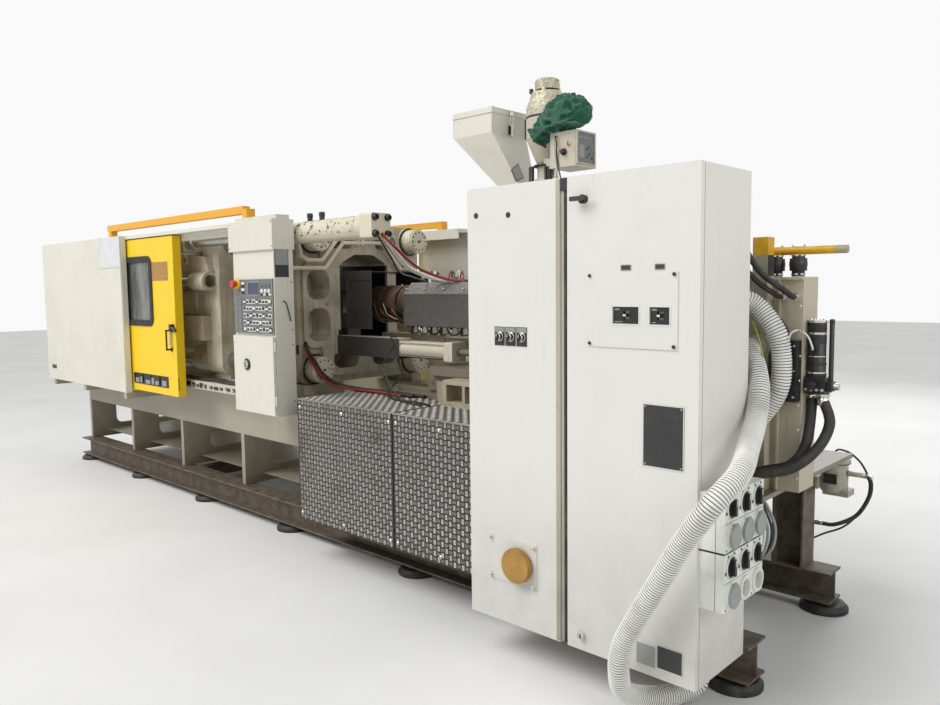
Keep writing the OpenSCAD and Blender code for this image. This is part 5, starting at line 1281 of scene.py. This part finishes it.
def dust_bag():
    kit = Kit()
    spine = smooth_path([(-1285, 770, 2314), (-1255, 772, 2338), (-1212, 776, 2366), (-1160, 780, 2398),
                         (-1100, 784, 2414), (-1048, 788, 2400), (-1012, 792, 2372), (-996, 794, 2350)], 12)
    widths = smooth_path([(w, 0, 0) for w in (46, 50, 58, 74, 80, 66, 38, 4)], 12)
    rows = []
    for n, row in enumerate(sweep(spine, [w[0] for w in widths], 84)):
        middle = spine[n]
        moved = []
        for p in row:
            out = (p - middle).normalized()
            long_fold = Vector((p.x * 0.55, p.y * 1.2, p.z * 0.9))
            push = 17 - 46 * abs(noise.noise(long_fold / 34, noise_basis="PERLIN_ORIGINAL")) ** 0.8
            push += 15 * (0.32 - crease(long_fold, 42, 4)) + 5 * (0.3 - crease(p, 17, 9))
            q = p + out * push * min(1, widths[n][0] / 60)
            gap = DRYER_CLEARANCE ** 2 - (q.x - DRYER_X) ** 2
            q.y = max(704, min(q.y, AXIS_Y - math.sqrt(gap) if gap > 0 else 880))
            if -1195 < q.x < -1038 and q.y > BOX_FRONT:
                q.z = max(q.z, BOX_TOP)
            moved.append(q)
        rows.append(moved)
    kit.rings(rows, 0, False, False)
    kit.face([kit.bm.verts.new(at(*p)) for p in rows[-1]], 0)
    # The inner rings take the darker cloth, which is painted shade inside the bag's mouth.
    inner = [[spine[n] + (p - spine[n]) * shrink for p in rows[n]]
             for n, shrink in ((0, 0.97), (4, 0.86), (8, 0.5), (9, 0.05))]
    kit.rings(inner, 1, False, False)
    hem = [p + (p - spine[0]).normalized() * 2 for p in rows[0][::4]]
    kit.rings(sweep(smooth_path(hem + [hem[0]], 3), [5] * (len(hem) * 3 + 1), 10), 0, True, False)
    rolled = smooth_path([(-1268, 716, 2290), (-1225, 708, 2322), (-1180, 704, 2340), (-1120, 703, 2352),
                          (-1060, 706, 2350), (-1005, 740, 2336)], 8)
    kit.rings(sweep(rolled, [9 + 3 * math.sin(0.9 * k) for k in range(len(rolled))], 14), 0, True)
    bag = kit.done("crumpled_dust_bag", "injection", [CLOTH, BAG_INSIDE_SHADE])
    weld = bag.modifiers.new("join rings", "WELD")
    weld.merge_threshold = 0.0001
    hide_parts("dust_bag")
    return bag


dust_bag()
print("bag lofted")

# %% [markdown]
# At the back end stand the oil housing, a small valve motor and the suction filter's pot. They get
# their bands, screws, clamps and cables here.

# %% Rear housing, valve motor and filter pot
MOTOR_X, MOTOR_Y = 131, 700
POT_X, POT_Y = -90, 1606
kit = Kit()
for z0, z1, d, finish in ((1211.8, 1226, 71, 1), (1226, 1232, 69, 0), (1258, 1268, 70, 1),
                          (1290, 1294, 67.4, 0), (1340, 1370, 67.6, 1), (1374, 1386, 65, 0),
                          (1396, 1402, 67.4, 1), (1421, 1430, 68, 0)):
    kit.turned((MOTOR_X, MOTOR_Y, z0), UP, [(0, d), (z1 - z0, d)], finish, 40)
for a, b in around(4, 24, 0.5):
    kit.socket_bolt((MOTOR_X + a, MOTOR_Y + b, 1429.5), UP, 6, 0)
kit.box(118, 144, 662, 668.5, 1300, 1334, 1)
kit.rod((MOTOR_X, 664, 1317), (MOTOR_X, 652, 1317), 14, 1, 16)
for x in (108, 128, 148, 168):
    kit.socket_bolt((x, 660.2, 1166), FRONT, 8, 0)
    kit.socket_bolt((x, 660.2, 1200), FRONT, 8, 1)
kit.box(176, 196, 676, 724, 1160, 1196, 1)
kit.rod((196, 700, 1178), (216, 700, 1178), 26, 0, 20)
kit.turned((MOTOR_X, 660.2, 1183), FRONT, [(0, 34), (12, 34), (14, 30), (30, 30), (32, 26)], 1, 24)
for x in (-38, 48):
    for z in (1604, 1676):
        kit.turned((x, 712, z), UP, [(0, 54), (6, 54)], 0, 6, False)
    kit.turned((x, 712, 1636), UP, [(0, 65), (4, 67), (16, 67), (20, 65)], 2, 32)
    for side in (-22, 22):
        kit.rod((x + side, 712, 1684), (x + side, 712, 1722), 6, 0, 10)
        kit.turned((x + side, 712, 1715), UP, [(0, 11), (5, 11)], 0, 6, False)
    kit.tube([(x - 22, 712, 1712), (x - 20, 712, 1717), (x, 712, 1718), (x + 20, 712, 1717),
              (x + 22, 712, 1712)], 5, 0, 8, 4)
for z, x in product(range(820, 1580, 95), (-126, 92)):
    kit.bolt((x, 626, z), FRONT, 6, 0)
for z, x in product((1140, 1240, 1335), (28, 86)):
    kit.socket_bolt((x, 590, z), FRONT, 6, 0)
kit.box(34, 80, 584, 590.4, 1180, 1300, 2)
kit.turned((50, 615, 1354.8), UP, [(0, 30), (8, 30), (8, 24), (20, 22)], 1, 6, False)
kit.turned((-30, 641, 1472), FRONT, [(0, 30), (9, 30), (9, 22), (20, 20)], 1, 6, False)
kit.turned((70, 641, 1520), FRONT, [(0, 34), (10, 34), (10, 26), (26, 24)], 0, 6, False)
kit.turned((20, 641, 1520), FRONT, [(0, 34), (10, 34), (10, 26), (26, 24)], 0, 6, False)
kit.turned((178, 720, 1418), UP, [(0, 19), (3, 20), (10, 20), (16, 14)], 2, 20)
kit.done("housing_fittings", "machine", [PLATED, BLACK, BLACK_PAINT], 0.5)

pot = Kit()
for a, b in around(6, 66):
    pot.bolt((POT_X + a, POT_Y + b, 708), UP, 7, 0)
    pot.turned((POT_X + a, POT_Y + b, 684), UP, [(0, 11), (6.2, 11)], 0, 6, False)
pot.turned((POT_X, POT_Y, 707.5), UP, [(0, 44), (8, 44), (12, 38), (22, 20)], 1, 28)
pot.turned((POT_X, POT_Y, 686.5), UP, [(0, 149), (1.6, 149)], 1, 44)
pot.turned((-27, POT_Y, 640), RIGHT, [(0, 40), (7, 40)], 0, 6, False)
pot.box(-122, -58, 1542.6, 1543.8, 590, 640, 2)
pot.done("filter_pot_fittings", "machine", [PLATED, BLACK, BARE_PLATE], 0.4)

laid_line("housing_hose_a", "machine",
          [(-70, 381, 1812), (-72, 400, 1806), (-76, 440, 1760), (-60, 490, 1690), (-20, 530, 1610),
           (50, 575, 1545), (69, 600, 1522), (70, 616, 1520)], 22, RUBBER)
laid_line("housing_hose_b", "machine",
          [(-96, 381, 1770), (-98, 398, 1764), (-94, 440, 1715), (-80, 490, 1650), (-40, 535, 1580),
           (8, 580, 1534), (19, 600, 1521), (20, 616, 1520)], 20, RUBBER)
laid_line("housing_hose_loop", "machine",
          [(-30, 621, 1472), (-29, 610, 1471), (-10, 596, 1462), (22, 592, 1440), (44, 600, 1408),
           (50, 610, 1385), (50, 614, 1374)], 16, BLACK)
laid_line("earth_wire_rear", "machine",
          [(-60, 579, 1442), (-58, 560, 1441), (-42, 500, 1436), (-12, 474, 1391), (13, 466, 1325),
           (16, 472, 1242), (4, 510, 1170), (-30, 570, 1120), (-32, 579, 1118)], 6, EARTH,
          sides=8)
laid_line("motor_cable", "machine",
          [(60, 606, 1356), (60, 606, 1366), (64, 618, 1384), (84, 640, 1392), (112, 652, 1370),
           (130, 651, 1330), (131, 652, 1318)], 8, PALE, sides=8)
laid_line("filter_cable", "machine",
          [(-90, 1606, 729), (-89, 1606, 740), (-70, 1612, 752), (-20, 1625, 735), (30, 1640, 680),
           (60, 1650, 590), (40, 1640, 480), (-30, 1600, 380), (-120, 1560, 330), (-170, 1522, 300)], 10,
          BLACK, sides=8)
for k in range(4):
    y = 560 + 16 * k
    laid_line(f"deck_cable_{k + 1}", "machine",
              [(-40, y, 739), (-40, y, 728), (-30 + 6 * k, y + 4, 690), (-6 + 8 * k, y + 8, 610),
               (-16 + 6 * k, y + 10, 520), (-60 - 8 * k, y + 20, 440), (-150, y + 20, 400),
               (-260, y + 30, 380)], 11 + k % 2 * 3, (PALE, GREY, BLACK, GREY)[k],
              sides=8)
print("rear end dressed")

# %% [markdown]
# The studio is a pale floor, a wide sky lamp that lights it evenly, and three big soft lamps. The
# operator's side gets the most light, and the end with the outlets lies in soft shade. The world is
# plain white for the camera and for reflections, and dimmer for the light that it casts, so the
# background stays white without washing out the paint.

# %% Floor, world and lamps
def lamp(name, place, target, size, power, tone=(1, 1, 1), far=False):
    data = bpy.data.lights.new(name, "SUN" if far else "AREA")
    if far:
        data.angle = size
    else:
        data.shape = "DISK"
        data.size = size
    data.energy = power
    data.color = tone
    obj = bpy.data.objects.new(name, data)
    bpy.context.scene.collection.objects.link(obj)
    obj.location = place
    obj.rotation_mode = "QUATERNION"
    obj.rotation_quaternion = (Vector(target) - Vector(place)).to_track_quat("-Z", "Y")
    return obj


def pale_floor():
    bpy.ops.mesh.primitive_plane_add(size=60, location=(0, 0, -0.0005))
    floor = bpy.context.object
    floor.name = "studio_floor"
    f = Finish("pale_floor")
    cloud = f.steps(f.noise(0.8, 5), 0.3, 0.7)
    floor.data.materials.append(f.surface(
        Base_Color=f.blend(cloud, linear((0.9, 0.9, 0.895)), linear((0.87, 0.87, 0.865))), Roughness=0.7))
    return floor


def studio_world(strength):
    world = bpy.data.worlds.new("studio")
    bpy.context.scene.world = world
    world.use_nodes = True
    tree = world.node_tree
    tree.nodes.clear()
    paths = tree.nodes.new("ShaderNodeLightPath")
    either, any_of_three = tree.nodes.new("ShaderNodeMath"), tree.nodes.new("ShaderNodeMath")
    either.operation = any_of_three.operation = "MAXIMUM"
    tree.links.new(paths.outputs["Is Camera Ray"], either.inputs[0])
    tree.links.new(paths.outputs["Is Transmission Ray"], either.inputs[1])
    tree.links.new(either.outputs[0], any_of_three.inputs[0])
    tree.links.new(paths.outputs["Is Glossy Ray"], any_of_three.inputs[1])
    seen, cast = tree.nodes.new("ShaderNodeBackground"), tree.nodes.new("ShaderNodeBackground")
    seen.inputs["Color"].default_value = (0.95, 0.95, 0.95, 1)
    cast.inputs["Color"].default_value = (0.97, 0.98, 1.0, 1)
    cast.inputs["Strength"].default_value = strength
    choose = tree.nodes.new("ShaderNodeMixShader")
    out = tree.nodes.new("ShaderNodeOutputWorld")
    tree.links.new(any_of_three.outputs[0], choose.inputs[0])
    tree.links.new(cast.outputs[0], choose.inputs[1])
    tree.links.new(seen.outputs[0], choose.inputs[2])
    tree.links.new(choose.outputs[0], out.inputs[0])


pale_floor()
studio_world(0.31)
lamp("wide_sky", (-3.0, -6.0, 9.0), (0, 0, 0), 0.7, 1.6, (1.0, 0.995, 0.985), True)
lamp("key_over_operator_side", (-2.5, -7.0, 6.5), (0.3, -0.3, 1.1), 5.0, 300, (1.0, 0.99, 0.975))
lamp("fill_from_outlet_end", (8.0, -1.5, 4.0), (2.0, 0.0, 1.0), 4.0, 130)
lamp("back_fill", (1.0, 7.5, 5.5), (0.0, 0.4, 1.0), 5.0, 200)
bpy.context.scene.view_settings.view_transform = "Standard"
print("studio ready")
